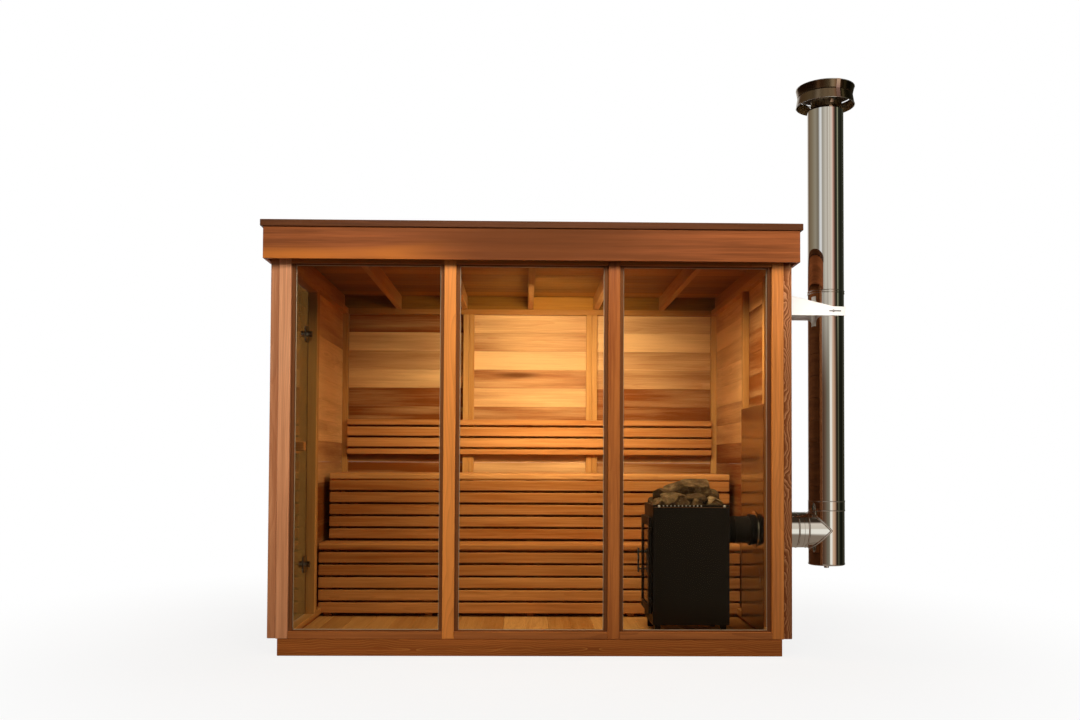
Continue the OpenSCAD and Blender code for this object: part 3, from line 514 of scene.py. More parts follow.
# Sprayed heat-proof paint: black with a faint satin glow. Its grain is drawn as slow waves.
stove_paint = coated("satin_black_stove_paint", "1A1612", "221D18", 0.5, 60.0, 0.00002, shiny=0.16)
# Enamel on the bracket: clean white gloss.
white_enamel = coated("gloss_white_enamel", "FCFCFB", "F8F8F6", 0.25, 40.0, 0.00004, coat=0.3)
# Felt with mineral chips of 3 mm: flat dark grey.
roof_felt = coated("mineral_roofing_felt", "3A3A3A", "2C2C2C", 0.9, 3.0, 0.001)
# Cast and painted collar; also the bracket's slots, drawn as thin black plates: painted shade.
black_cast_and_slot_shade = coated("black_cast_collar_and_slot_shade", "12100E", "1A1714", 0.5, 60.0, 0.00002, shiny=0.12)
print("coats:", stove_paint.name, white_enamel.name, roof_felt.name, black_cast_and_slot_shade.name)

# %% Stove stone
peridotite, tree = blank("olive_stove_stone")      # split faces: matt, olive-brown, no two alike
where = add(tree, "TexCoord").outputs["Object"]
mottle = add(tree, "TexNoise", {"Vector": where, "Scale": 28.0, "Detail": 7.0,
    "Roughness": 0.68})      # 36 mm and finer
cloud = add(tree, "TexNoise", {"Vector": where, "Scale": 7.0, "Detail": 2.0})
speck = add(tree, "TexVoronoi", {"Vector": where, "Scale": 260.0})       # 4 mm crystals
own = add(tree, "Attribute", (), {"attribute_name": "tone"}).outputs["Fac"]
shade = varied(tree, add(tree, "Math", [mottle, own], ADD), (cloud, 0.25))
STONE = [(0.3, "2A1F12"), (0.48, "544028"), (0.64, "745E40"), (0.8, "A0885E")]
colour = add(tree, "ValToRGB", [shade], {"stops": STONE})
dusty = add(tree, "Mix", {SHARE: 0.25, ONE: colour, TWO: speck.outputs["Color"]},
    {"data_type": "RGBA", "blend_type": "MULTIPLY"})
chips = add(tree, "Bump", {"Height": mottle, "Strength": 1.0, "Distance": 0.012})
surface = add(tree, "BsdfPrincipled", {"Base Color": dusty, "Roughness": 0.85, "Normal": chips})
add(tree, "OutputMaterial", [surface])
print("stone:", peridotite.name)

# %% [markdown]
# ## Boards from solids
#
# A frame node such as the rafters holds several separate solids. A modifier
# could round their edges, but each board needs a grain and a tone of its own,
# so the boards are made again at the same places. One function reads each
# solid's box, another cuts a wall's box into boards, and the last turns boxes
# into one mesh of boards with softened edges.

# %% Reading solids
def solids(node):
    """Boxes (low corner, high corner) of the separate solids in a node, from the left."""
    bm = bmesh.new()
    bm.from_mesh(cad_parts[node].data)
    bmesh.ops.remove_doubles(bm, verts=bm.verts, dist=1e-5)
    left, found = set(bm.verts), []
    while left:
        stack, corners = [left.pop()], []
        while stack:
            at = stack.pop()
            corners.append(at.co.copy())
            for edge in at.link_edges:
                other = edge.other_vert(at)
                if other in left:
                    left.remove(other)
                    stack.append(other)
        found.append((Vector(map(min, *corners)), Vector(map(max, *corners))))
    bm.free()
    return sorted(found, key=lambda b: tuple(round(v, 3) for v in b[0]))


BOARD = 0.1302       # a tongue-and-groove board covers 5 1/8 in
JOINT = 0.0004       # the gap between two boards
FIRST_STRIP, LAST_STRIP = 0.02, 0.006      # a narrower first or last board is left out


def planks(box, across, joint):
    """A panel's box as boards that step along the axis across. joint is one joint's place."""
    lo, hi = box
    first = math.ceil((lo[across] + FIRST_STRIP - joint) / BOARD)
    cuts = [lo[across]]
    while joint + first * BOARD < hi[across] - LAST_STRIP:
        cuts.append(joint + first * BOARD)
        first += 1
    cuts.append(hi[across])
    made = []
    for a, b in zip(cuts, cuts[1:]):
        low, high = lo.copy(), hi.copy()
        low[across] = a + (JOINT / 2 if a > lo[across] else 0)
        high[across] = b - (JOINT / 2 if b < hi[across] else 0)
        made.append((low, high))
    return made


print("rafters:", len(solids("rafters")), "solids")

# %% Making pieces
def block(bm, low, high):
    """Adds a box between two corners to a bmesh."""
    low, high = Vector(low), Vector(high)
    place = Matrix.Translation((low + high) / 2)
    bmesh.ops.create_cube(bm, size=1, matrix=place @ Matrix.Diagonal([*(high - low), 1]))


def lists(bm):
    """The corners and faces of a bmesh as lists. The bmesh is freed."""
    bm.verts.index_update()
    shape = [v.co.copy() for v in bm.verts], [[v.index for v in f.verts] for f in bm.faces]
    bm.free()
    return shape


def piece(name, shape, finish, nodes=(), body="cabin", smooth=None, marks=None):
    """Makes a mesh object of (corners, faces), dresses it and hangs it on a body. Edges flatter
    than smooth, in degrees, are shaded round. marks are lists of numbers for its face corners."""
    mesh = bpy.data.meshes.new(name)
    mesh.from_pydata(shape[0], [], shape[1])
    for mark, numbers in (marks or {}).items():
        numbers = np.asarray(numbers, np.float32)
        kind, field = ("FLOAT_VECTOR", "vector") if numbers.ndim == 2 else ("FLOAT", "value")
        mesh.attributes.new(mark, kind, "CORNER").data.foreach_set(field, numbers.ravel())
    mesh.validate()
    if smooth:
        mesh.shade_smooth()
        mesh.set_sharp_from_angle(angle=math.radians(smooth))
    made = bpy.data.objects.new(name, mesh)
    scene.collection.objects.link(made)
    mesh.materials.append(finish)
    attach(made, body)
    if nodes:
        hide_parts(*nodes)
    return made


print("helpers for pieces ready")

# %% Boards
FLAT_SAWN = 0.6      # share of boards sawn flat, which show arches
STEEP = 0.7          # radians between faces: a rounded nose has less, a square edge more


def softened(lo, hi, edge, rounds, nose):
    """One board as a bmesh. edge rounds all its edges, nose rounds its long front ones more."""
    bm = bmesh.new()
    block(bm, lo, hi)
    sharp = list(bm.edges)
    if nose:
        front = [e for e in bm.edges if all(abs(v.co.y - lo.y) < 1e-6 for v in e.verts)
                 and abs(e.verts[0].co.x - e.verts[1].co.x) > 0.01]
        bmesh.ops.bevel(bm, geom=front, offset=nose, segments=6, profile=0.5, affect="EDGES")
        sharp = [e for e in bm.edges if e.calc_face_angle(0) > STEEP]
    bmesh.ops.bevel(bm, geom=sharp, offset=edge, segments=rounds, profile=0.5, affect="EDGES",
        clamp_overlap=True)
    bm.verts.index_update()
    return bm


def timber(name, node, finish, boards=None, body="cabin", edge=0.002, rounds=1,
           nose=0.0, tones=None, outside=None, heart_at=None):
    """Boards as one mesh that stands for a node; without boards, the node's own solids. nose is
    for the first board. tones are the boards' tones, else they are random. heart_at is where the
    tree's heart lies across and under each board. outside is (axis, sign, finish) of a side that
    is stained against the weather."""
    dice = random.Random(name + "0")
    verts, faces, grain, tone, side = [], [], [], [], []
    for number, (lo, hi) in enumerate(boards or solids(node)):
        size, middle = hi - lo, (lo + hi) / 2
        long, wide, thin = sorted(range(3), key=lambda axis: -size[axis])
        if dice.random() < FLAT_SAWN:      # the tree's heart lies under the face
            heart = (dice.uniform(-0.35, 0.35) * size[wide],
                     dice.uniform(0.035, 0.11) * dice.choice((-1, 1)))
        else:                              # the heart lies beside the board
            heart = (dice.choice((-1, 1)) * dice.uniform(0.14, 0.3), dice.uniform(-0.05, 0.05))
        heart = heart_at or heart
        start = dice.uniform(-40, 40)
        shade = tones[number % len(tones)] if tones else dice.random()
        base = len(verts)
        bm = softened(lo, hi, edge, rounds, 0.0 if number else nose)
        verts += [v.co.copy() for v in bm.verts]
        for face in bm.faces:
            faces.append([base + v.index for v in face.verts])
            for v in face.verts:
                away = v.co - middle
                grain.append((away[long] + start, away[wide] + heart[0], away[thin] + heart[1]))
                tone.append(shade)
                side.append((v.co[wide] - lo[wide]) / size[wide])
        bm.free()
    made = piece(name, (verts, faces), finish, [node], body, 60 if rounds > 1 else None,
        {"grain": grain, "tone": tone, "side": side})
    if rounds > 1:
        made.modifiers.new("even_shading", "WEIGHTED_NORMAL").keep_sharp = True
    if outside:
        axis, sign, stain = outside
        made.data.materials.append(stain)
        for face in made.data.polygons:
            face.material_index = int(face.normal[axis] * sign > 0.5)
    return made


print("boards sawn flat:", FLAT_SAWN)

# %% [markdown]
# ## Base and floor
#
# The cabin stands on a low rim of dark-stained boards, with joists between
# them. The floor boards run from front to back. Stripes could stand for their
# joints, but a real gap holds a real shadow.

# %% Base and floor
timber("rim_boards", "base_rim", dark_rim, edge=0.003, rounds=2,
    heart_at=(0.012, 0.022))
timber("joists", "floor_joists", frame_cedar, edge=0.0015)
floor = timber("floor_planks", "floor_boards", frame_cedar,
    planks(solids("floor_boards")[0], 0, -0.154))
print("floor planks:", round(floor.dimensions.x, 3), "m wide")

# %% [markdown]
# ## Walls
#
# The walls are single boards laid flat, one above another, with a small
# V-shaped joint. The back wall is in three panels, so its boards don't run
# through. Each board's tone is listed one by one, because chance would not put
# pale and dark ones where they are. The lists also carry painted light and
# shade: on the side walls they mostly run from pale boards near the top to dark
# ones lower down, and the top board of the back wall's left panel is darkened
# where the ceiling shades it. The boards are clear inside and stained on their
# outer faces. The flue's round hole is cut with a Boolean modifier whose result
# is kept as the mesh.

# %% Wall boards
COURSE = 2.0532      # height of the uppermost joint between wall boards
X_AXIS, Y_AXIS, Z_AXIS = 0, 1, 2


def courses(node, tones_and_shade):
    """A wall's boards and their tones. The lists hold each panel's tones from the top down,
    painted shade among them.
    """
    boards, tones = [], []
    for panel, row in zip(solids(node), tones_and_shade):
        for board in planks(panel, Z_AXIS, COURSE):
            from_top = round((COURSE - board[1].z) / BOARD)
            boards.append(board)
            tones.append(row[min(len(row) - 1, max(0, from_top))])
    return boards, tones


WALLS = (      # wall, its outer side, and the tones of each of its panels, painted shade among them
    ("back", (Y_AXIS, 1), (
        [.9, .27, .45, .22, .97, 1, 1, .93, 1, .6, .66, .66, .7, .6, .5],
        [.38, .6, .12, .84, .36, .86, .62, .38, .42, .62, .52, .4, .6, .5, .5],
        [.34, .06, .45, .6, .97, .96, .54, .47, .82, .85, .5, .4, .5, .6, .5])),
    ("left", (X_AXIS, -1), (
        [.6], [.35, .45, .1, 0, 0, .05, .15, .6, .5, .95, 1, 1, .9, .8, .7])),
    ("right", (X_AXIS, 1), (
        [0, .88, 1, 1, .95, .85, .98, 1, .95, 1, .3, .3, .8, .6, .7],
        [.3, 0, .27, .18, .08, .55, .3, .9, .88, 1, 1, .9, .7, .8, .6])))
walls = {}
for wall, out_side, tones_and_shade in WALLS:
    boards, tones = courses(wall + "_wall", tones_and_shade)
    walls[wall] = timber(wall + "_wall_boards", wall + "_wall", clear_cedar, boards,
        tones=tones, outside=(*out_side, stained_walls))
    print(wall, "wall:", len(boards), "boards")

# %% Hole for the flue
branch_lo, branch_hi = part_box("flue_branch")
wall_lo, wall_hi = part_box("right_wall")
flue = (branch_lo + branch_hi) / 2
FLUE_Y, FLUE_Z = flue.y, flue.z      # the flue's axis, which runs along x
FLUE_HOLE, DEPTH = 0.108, 0.2        # the hole's radius; the cutter is longer than it is deep
bm = bmesh.new()
bmesh.ops.create_cone(bm, cap_ends=True, segments=64, radius1=FLUE_HOLE, radius2=FLUE_HOLE,
    depth=DEPTH, matrix=Matrix.Translation(((wall_lo.x + wall_hi.x) / 2, FLUE_Y, FLUE_Z))
    @ Matrix.Rotation(math.pi / 2, 4, "Y"))
cutter_mesh = bpy.data.meshes.new("cutter")
bm.to_mesh(cutter_mesh)
bm.free()
cutter = bpy.data.objects.new("cutter", cutter_mesh)
scene.collection.objects.link(cutter)
cut = walls["right"].modifiers.new("flue_hole", "BOOLEAN")
cut.object, cut.operation, cut.solver = cutter, "DIFFERENCE", "EXACT"
bpy.context.view_layer.update()
seen_by_modifiers = walls["right"].evaluated_get(bpy.context.evaluated_depsgraph_get())
holed = bpy.data.meshes.new_from_object(seen_by_modifiers)
walls["right"].modifiers.clear()
walls["right"].data = holed
bpy.data.objects.remove(cutter)
print("right wall corners:", len(holed.vertices))

# %% [markdown]
# ## Framing and corner boards
#
# Studs and plates stand inside the boards, left as they come from the planer.
# The boards that cover the corners outside are stained, those on the right
# strongly figured.

# %% Framing
# Tone 1.2 darkens one plate, a painted shade.
timber("wall_plate_timbers", "wall_plates", frame_cedar, tones=[.5, .5, .5, .5, 1.2, .5, .4, .5])
timber("stud_timbers", "wall_studs", frame_cedar, tones=[.5, .4, .5, .65, .5, .7, .5, .75, 0])
corners = solids("corner_boards")
timber("left_corner_boards", "corner_boards", painted_sheen_posts, corners[:2],
    edge=0.004, rounds=2, tones=[0.62])
timber("right_corner_boards", "corner_boards", figured_cedar, corners[2:],
    edge=0.004, rounds=2, heart_at=(0.0, 0.03))
print("corner boards:", len(corners))

# %% [markdown]
# ## The glazed front
#
# Posts, sill and header pieces are stained cedar with softly rounded edges.
# A square bead holds each pane on the outside, and a pale cream line 3 mm wide
# runs round it. Without that line the glass would seem to end in nothing.

# %% Front
posts, rails = solids("front_posts"), solids("front_rails")
timber("left_post_timber", "front_posts", painted_sheen_posts, posts[:1],
    edge=0.004, rounds=3, tones=[0.3])
timber("post_timbers", "front_posts", stained_posts, posts[1:],
    edge=0.004, rounds=3, tones=[0, .72, .28])
timber("sill_timbers", "front_rails", sill_cedar, [b for b in rails if b[0].z < 1])
timber("header_timbers", "front_rails", stained_posts, [b for b in rails if b[0].z > 1],
    tones=[0.6])
timber("bead_strips", "glazing_beads", bead_cedar, edge=0.0015)
print("posts:", len(posts), "rails:", len(rails))

# %% Pale pane lines
COVERED, TUCKED = 0.0195, 0.0051     # what the frame covers of a pane's sides, top and foot
LINE = 0.003                         # how wide the line is that comes next
FRONT, BACK = 0.0014, 0.0001         # how far the line lies in front of the pane
# Pane lines: dull, cream and smooth.
pale_line_finish = coated("pale_cream_pane_line", "C9BBA2", "BDAE94", 0.45, 20.0, 0.00002)
line_mesh = bmesh.new()
for lo, hi in solids("front_panes"):
    west, east, low, high = lo.x + COVERED, hi.x - COVERED, lo.z + TUCKED, hi.z - TUCKED
    for x0, z0, x1, z1 in ((west, low, west + LINE, high), (east - LINE, low, east, high),
                           (west + LINE, low, east - LINE, low + LINE),
                           (west + LINE, high - LINE, east - LINE, high)):
        block(line_mesh, (x0, lo.y - FRONT, z0), (x1, lo.y - BACK, z1))
piece("pale_pane_lines", lists(line_mesh), pale_line_finish)
print("panes sealed:", len(solids("front_panes")))

# %% [markdown]
# ## Roof
#
# Rafters run from front to back with boards across them, and short blocks
# close the gaps on the walls. A fascia and a cap board go round the edge.

# %% Roof
timber("rafter_timbers", "rafters", frame_cedar)
# The blocks over the back wall carry painted shade (tones .8 to 1) and, in the lamp's bay, painted
# light (tone .2).
timber("blocking_timbers", "rafter_blocking", roof_cedar, edge=0.0015,
    tones=[.5, .8, .5, .9, .5, 1, .5, .2, .5, .9, .5, 1])
timber("roof_planks", "roof_boards", roof_cedar, planks(solids("roof_boards")[0], Y_AXIS, 0.0))
timber("fascia_boards", "fascias", dark_fascia, edge=0.003, rounds=2)
timber("cap_boards", "roof_cap", dark_cap, edge=0.003, rounds=2)
print("rafters:", len(solids("rafters")))

# %% [markdown]
# ## Benches
#
# Slats of 2 1/2 in with open gaps make the seats, the skirts in front of them
# and the backrest. Their edges are rounded over for bare skin, and the front
# slat of each seat has a fuller nose.

# %% Benches
NOSE = 0.014
for bench in ("upper", "lower"):
    from_front = sorted(solids(bench + "_bench_seat"), key=lambda box: box[0].y)
    timber(bench + "_seat_slats", bench + "_bench_seat", bench_cedar, from_front, edge=0.004,
        rounds=2, nose=NOSE)
    print(bench, "bench:", len(from_front), "seat slats")
for bench, tones in (("upper", [.9, .8, 1, .85, .95]), ("lower", None)):
    timber(bench + "_skirt_slats", bench + "_bench_skirt", bench_cedar, edge=0.005, rounds=2,
        tones=tones)
timber("backrest_slats", "backrest", bench_cedar, edge=0.006, rounds=3, tones=[.75, .6, .7, .8])
timber("backrest_batten_strips", "backrest_battens", frame_cedar, edge=0.0015)
timber("leg_timbers", "bench_legs", frame_cedar)
timber("bearer_timbers", "bench_bearers", frame_cedar)

# %% [markdown]
# ## Door
#
# A sheet of glass hangs on two clamp hinges. Wooden blocks on both faces are
# the handle, and round steel buttons hold it all to the glass. The frame's own
# shapes are right here, so they stay and get a finish. Further on, a bevel
# modifier softens those that are folded or welded.

# %% Door
timber("door_lining", "door_frame", frame_cedar, tones=[.3, .5, .5, .1],
    outside=(X_AXIS, -1, sill_cedar))
timber("handle_blocks", "door_handle", bench_cedar, body="door", edge=0.006, rounds=3)


def dress(finish, *nodes, edge=0.0):
    """Gives frame nodes their finish, and softens their edges with modifiers if edge is set."""
    for node in nodes:
        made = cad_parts[node]
        made.data.materials.clear()
        made.data.materials.append(finish)
        if edge:
            made.modifiers.new("join_corners", "WELD").merge_threshold = 1e-5
            bevel = made.modifiers.new("soft_edges", "BEVEL")
            bevel.width, bevel.segments = edge, 2
            bevel.limit_method, bevel.angle_limit = "ANGLE", math.radians(50)
            made.modifiers.new("even_shading", "WEIGHTED_NORMAL").keep_sharp = True
        print("dressed", node, "in", finish.name)


dress(clear_glass, "front_panes")
dress(bronze_glass, "door_glass")
dress(satin_steel, "door_fittings", "door_hinge_clamps", "door_hinge_leaves")
dress(roof_felt, "roofing_sheet")

# %% [markdown]
# ## Turned sheet metal
#
# Pipes, bands, collars and lids are round, so each is drawn as half of its
# section and spun about its axis, with enough steps that a mirror finish shows
# no facets. Plain cylinders would be quicker, but a section holds the rolled
# beads that stiffen a band and the rolled rim that catches the light.

# %% Turning helpers
STEPS = 128
CIRCLE = [(math.cos(2 * math.pi * i / STEPS), math.sin(2 * math.pi * i / STEPS))
          for i in range(STEPS)]
SHARP = 35      # degrees: flatter edges are shaded round


def turned(name, loops, finish, nodes, centre):
    """Spins closed sections, each a list of (radius, place along the axis) in metres, about the
    upright through centre, or about the flue's axis where centre is only the place on it."""
    sideways = isinstance(centre, float)
    x, y, z = (centre, FLUE_Y, FLUE_Z) if sideways else centre
    bm = bmesh.new()
    for loop in loops:
        rows = [[bm.verts.new((x + t, y + r * c, z + r * s) if sideways
                              else (x + r * c, y + r * s, z + t)) for r, t in loop]
                for c, s in CIRCLE]
        for here, there in zip(rows, rows[1:] + rows[:1]):
            for a in range(len(loop)):
                b = (a + 1) % len(loop)
                bm.faces.new((here[a], there[a], there[b], here[b]))
    bmesh.ops.recalc_face_normals(bm, faces=bm.faces)
    return piece(name, lists(bm), finish, nodes, smooth=SHARP)


def tube(inner, outer, low, high, lip):
    """Section of a length of pipe; lip bevels its outer ends."""
    return [(inner, low), (outer - lip, low), (outer, low + lip), (outer, high - lip),
            (outer - lip, high), (inner, high)]


def bead(radius, middle, width, depth):
    """Section points of a rolled bead that stands out from a sheet."""
    return [(radius + depth * math.sin(math.pi * i / 6), middle - width / 2 + width * (i / 6))
            for i in range(7)]


def dome(name, centre, radius, depth, finish, toward=-1):
    """A low domed head, such as a screw's, on a face that looks forward (-1) or back (1)."""
    bm = bmesh.new()
    bmesh.ops.create_uvsphere(bm, u_segments=24, v_segments=12, radius=radius)
    for v in bm.verts:
        v.co.z = max(v.co.z, 0.0) * depth / radius
    facing = Vector((0, toward, 0)).to_track_quat("Z", "Y").to_matrix().to_4x4()
    bmesh.ops.transform(bm, matrix=Matrix.Translation(centre) @ facing, verts=bm.verts)
    return piece(name, lists(bm), finish, smooth=50)


print("round things have", STEPS, "sides")

# %% [markdown]
# ## Stove
#
# The stove is a welded steel box with a satin heat-proof coat. Its front rim
# has a row of air holes between two zinc screws. The holes are drawn as small
# pale domes, a painted glint, and the screws' whiteness is partly zinc and
# partly painted glint. Along the rim's edge runs a thin copper-brown strip, a
# painted highlight. A pipe and a cast collar lead to the wall.

# %% Stove
dress(stove_paint, "stove_body", edge=0.002)
dress(stove_paint, "stove_door_frame", edge=0.0015)
dress(smoked_glass, "stove_door_glass")
dress(satin_steel, "stove_door_handle", edge=0.002)
dress(shield_steel, "heat_shield")

# %% Front rim
lo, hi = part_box("stove_body")
STOVE_FRONT, RIM = lo.y, hi.z
STOVE_LEFT, STOVE_RIGHT = 0.667, 1.087      # of its jacket; other parts reach further
# Painted highlight: a thin copper-brown steel strip for the light along the tray's front edge.
edge_highlight_steel = steel("painted_edge_highlight_steel", "8E6242", 0.45)
# Zinc: plated and only half metallic, its whitish colour partly the plating and partly
# painted glint: small bright dots.
zinc_and_glints = coated("zinc_with_painted_glints", "F2EEE8", "E2DCD2", 0.3, 20.0, 0.00002, metallic=0.35)
edge_strip, INSET = bmesh.new(), 0.003
block(edge_strip, (STOVE_LEFT + INSET, STOVE_FRONT - 0.0007, RIM - 0.0143),
    (STOVE_RIGHT - INSET, STOVE_FRONT + 0.0003, RIM - 0.0113))
piece("tray_edge", lists(edge_strip), edge_highlight_steel)
HOLES, FIRST_HOLE, HOLE_PITCH = 11, 0.724, 0.0208
# The air holes are drawn as pale zinc domes; their brightness is painted glint.
for number in range(HOLES):
    x = FIRST_HOLE + number * HOLE_PITCH
    dome("air_hole_%02d" % number, (x, STOVE_FRONT, RIM - 0.0046), 0.0038, 0.0018, zinc_and_glints)
for side, x in (("left", 0.700), ("right", 1.060)):
    dome("tray_screw_" + side, (x, STOVE_FRONT, RIM - 0.0075), 0.0075, 0.004, zinc_and_glints)
print("air holes:", HOLES)

# %% Stove pipe and wall collar
lo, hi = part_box("stove_flue_pipe")
STOVE_PIPE = 0.076      # radius
section = tube(STOVE_PIPE - 0.002, STOVE_PIPE, 0, hi.x - lo.x, 0.0005)
turned("stove_pipe", [section[:2] + bead(STOVE_PIPE, 0.03, 0.01, 0.002) + section[2:]],
    stove_paint, ["stove_flue_pipe"], lo.x)
lo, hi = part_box("flue_wall_collar")
deep, hub = hi.x - lo.x, 0.0765
turned("collar_rim", [[(hub, deep - 0.006), (0.103, deep - 0.006), (0.106, deep - 0.004),
    (0.106, deep), (hub, deep)]], band_steel, [], lo.x)
turned("wall_collar", [[(hub, 0), (0.084, 0), (0.089, 0.003), (0.089, 0.009), (0.085, 0.014),
    (0.085, deep - 0.0065), (hub, deep - 0.0065)]], black_cast_and_slot_shade, ["flue_wall_collar"], lo.x)
print("collar is", round(deep, 3), "m deep")

# %% [markdown]
# ## Stones
#
# Broken peridotite is heaped in the stove's tray. A sphere pushed about by
# noise looks like a potato. So random planes are cut off a lump first, and
# then noise chips it, which gives the flat facets and sharp edges of a split
# stone. Small ones fill the tray, and larger ones lie on top.

# %% One stone
CUTS = 13


def boulder(seed, centre, half):
    """A split stone as (corners, faces): a lump cut by planes, with a chipped surface."""
    dice = random.Random(seed)
    bm = bmesh.new()
    bmesh.ops.create_icosphere(bm, subdivisions=4, radius=1.0)
    for _ in range(CUTS):
        normal = Vector((dice.gauss(0, 1), dice.gauss(0, 1), dice.gauss(0, 0.8))).normalized()
        depth = dice.uniform(0.56, 0.82)
        for v in bm.verts:
            proud = v.co.dot(normal) - depth
            if proud > 0:
                v.co -= normal * proud
    own = Vector((dice.uniform(-9, 9), dice.uniform(-9, 9), dice.uniform(-9, 9)))
    for v in bm.verts:
        v.co *= (1.1 + 0.05 * noise.noise(v.co * 2.2 + own)
                 + 0.03 * noise.noise(v.co * 9.0 + own))
    corners, faces = lists(bm)
    return [Vector((c + v[k] * half[k] for k, c in enumerate(centre))) for v in corners], faces


print("a stone is cut", CUTS, "times")

# %% The heap
lo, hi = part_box("stove_stones")
GAP, RISE = 0.002, 0.205      # between heap and tray all round; the height of a full share
TRAY_CORNER = (lo.x - GAP, lo.y - GAP, lo.z)
TRAY = (hi.x - lo.x + 2 * GAP, hi.y - lo.y + 2 * GAP, RISE)
# Each stone's place and half size, as shares of the tray; first the 16 that fill it.
heap = [(0.13 + 0.247 * i, 0.13 + 0.247 * j, 0.2, 0.155, 0.155, 0.28)
        for i in range(4) for j in range(4)]
heap += [
    (0.56, 0.56, 0.66, 0.36, 0.28, 0.36), (0.2, 0.5, 0.52, 0.18, 0.22, 0.24),
    (0.26, 0.2, 0.40, 0.22, 0.18, 0.2), (0.58, 0.2, 0.42, 0.2, 0.18, 0.2),
    (0.82, 0.19, 0.37, 0.17, 0.18, 0.19), (0.4, 0.83, 0.48, 0.22, 0.17, 0.28),
    (0.8, 0.84, 0.46, 0.18, 0.17, 0.26), (0.84, 0.52, 0.44, 0.15, 0.22, 0.26)]
SHADES = {17: -0.08, 18: -0.03, 19: -0.16, 20: 0.22}      # the front row's last stone is palest
verts, faces, tones = [], [], []
for number, stone in enumerate(heap):
    centre = [c + share * size for c, share, size in zip(TRAY_CORNER, stone[:3], TRAY)]
    half = [share * size for share, size in zip(stone[3:], TRAY)]
    corners, hull = boulder(900 + number, centre, half)
    faces += [[i + len(verts) for i in face] for face in hull]
    verts += corners
    tones += [SHADES.get(number, 0.0)] * len(corners)
verts = [Vector((min(max(v[k], lo[k]), hi[k]) for k in range(3))) for v in verts]
stones = piece("split_stones", (verts, faces), peridotite, ["stove_stones"],
    smooth=22)
own_tone = stones.data.attributes.new("tone", "FLOAT", "POINT")
own_tone.data.foreach_set("value", np.float32(tones))
print("stones:", len(heap), "faces:", len(faces))

# %% [markdown]
# ## Chimney
#
# Twin-wall pipe comes in lengths that push together and are held by locking
# bands. The tee is two pipes of one size that meet at a right angle. Their
# seam is a saddle curve, and a Boolean would leave it ragged, so both skins
# are drawn to it exactly. The weld along it is a curve with a round bevel.

# %% Pipes and bands
PIPE, BORE, AXIS = 0.1, 0.077, 0.0001            # radii; sections stop just short of the axis
tee_lo, tee_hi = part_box("chimney_tee")
CHIMNEY = Vector((tee_hi.x - PIPE, FLUE_Y, 0.0))
LOW_JOINT, MID_JOINT = tee_hi.z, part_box("chimney_locking_bands")[1].z - 0.01
TOP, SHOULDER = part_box("chimney_pipes")[1].z, 0.020
turned("pipe_lengths", [tube(BORE, PIPE, LOW_JOINT, MID_JOINT - 0.0005, 0.001),
    [(BORE, MID_JOINT), (PIPE - 0.001, MID_JOINT), (PIPE, MID_JOINT + 0.001),
     (PIPE, TOP - SHOULDER), (PIPE - SHOULDER, TOP), (BORE, TOP)]],
    mirror_steel, ["chimney_pipes"], CHIMNEY)
BAND = PIPE + 0.0014
bands = []
for low, high in ((LOW_JOINT - 0.03, LOW_JOINT + 0.03), (MID_JOINT - 0.01, MID_JOINT + 0.01)):
    bands.append([(PIPE + 0.0002, low), (BAND, low)] + bead(BAND, low + 0.004, 0.006, 0.002)
        + bead(BAND, high - 0.004, 0.006, 0.002) + [(BAND, high), (PIPE + 0.0002, high)])
turned("locking_bands", bands, mirror_steel, ["chimney_locking_bands"], CHIMNEY)
lo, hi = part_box("chimney_tee_cap")
DRAIN, PLATE = 0.014, lo.z + 0.018               # the drain stub's radius and the lid over it
turned("tee_cap_and_drain", [[(AXIS, lo.z), (DRAIN - 0.002, lo.z), (DRAIN, lo.z + 0.002),
    (DRAIN, PLATE), (0.094, PLATE), (PIPE, PLATE + 0.0025), (PIPE + 0.0015, PLATE + 0.0055),
    (PIPE + 0.0015, hi.z), (AXIS, hi.z)]], mirror_steel, ["chimney_tee_cap"], CHIMNEY)
BRANCH_LEFT, TEE_LEFT = branch_lo.x, branch_hi.x
at, flange = wall_hi.x - BRANCH_LEFT, PIPE + 0.045
turned("branch_pipe", [tube(BORE, PIPE, 0, TEE_LEFT - BRANCH_LEFT, 0.001),
    [(PIPE, at), (flange, at), (flange, at + 0.0015), (flange - 0.002, at + 0.002),
     (PIPE, at + 0.002)]],
    mirror_steel, ["flue_branch"], BRANCH_LEFT)
print("pipe top at", TOP)

# %% Tee
TEE_LOW = tee_lo.z
upright = [(BORE, TEE_LOW), (PIPE - 0.001, TEE_LOW), (PIPE, TEE_LOW + 0.001),
           (PIPE, LOW_JOINT - 0.001), (PIPE - 0.001, LOW_JOINT), (BORE, LOW_JOINT),
           (BORE, TEE_LOW)]
arm = [(BORE, TEE_LEFT), (PIPE - 0.001, TEE_LEFT), (PIPE, TEE_LEFT + 0.001)]
saddle = [(CHIMNEY.x - PIPE * abs(s), FLUE_Y + PIPE * c, FLUE_Z + PIPE * s) for c, s in CIRCLE]
verts, faces = [], []
for rings in ([[(CHIMNEY.x + r * c, CHIMNEY.y + r * s, z) for c, s in CIRCLE]
               for r, z in upright],
              [[(x, FLUE_Y + r * c, FLUE_Z + r * s) for c, s in CIRCLE]
               for r, x in arm] + [saddle]):
    for number, ring in enumerate(rings):
        base = len(verts)
        verts += ring
        for i in range(STEPS if number else 0):      # faces back to the ring before
            j = (i + 1) % STEPS
            faces.append([base - STEPS + i, base - STEPS + j, base + j, base + i])
piece("tee_body", (verts, faces), mirror_steel, ["chimney_tee"], smooth=SHARP)
print("tee corners:", len(verts))

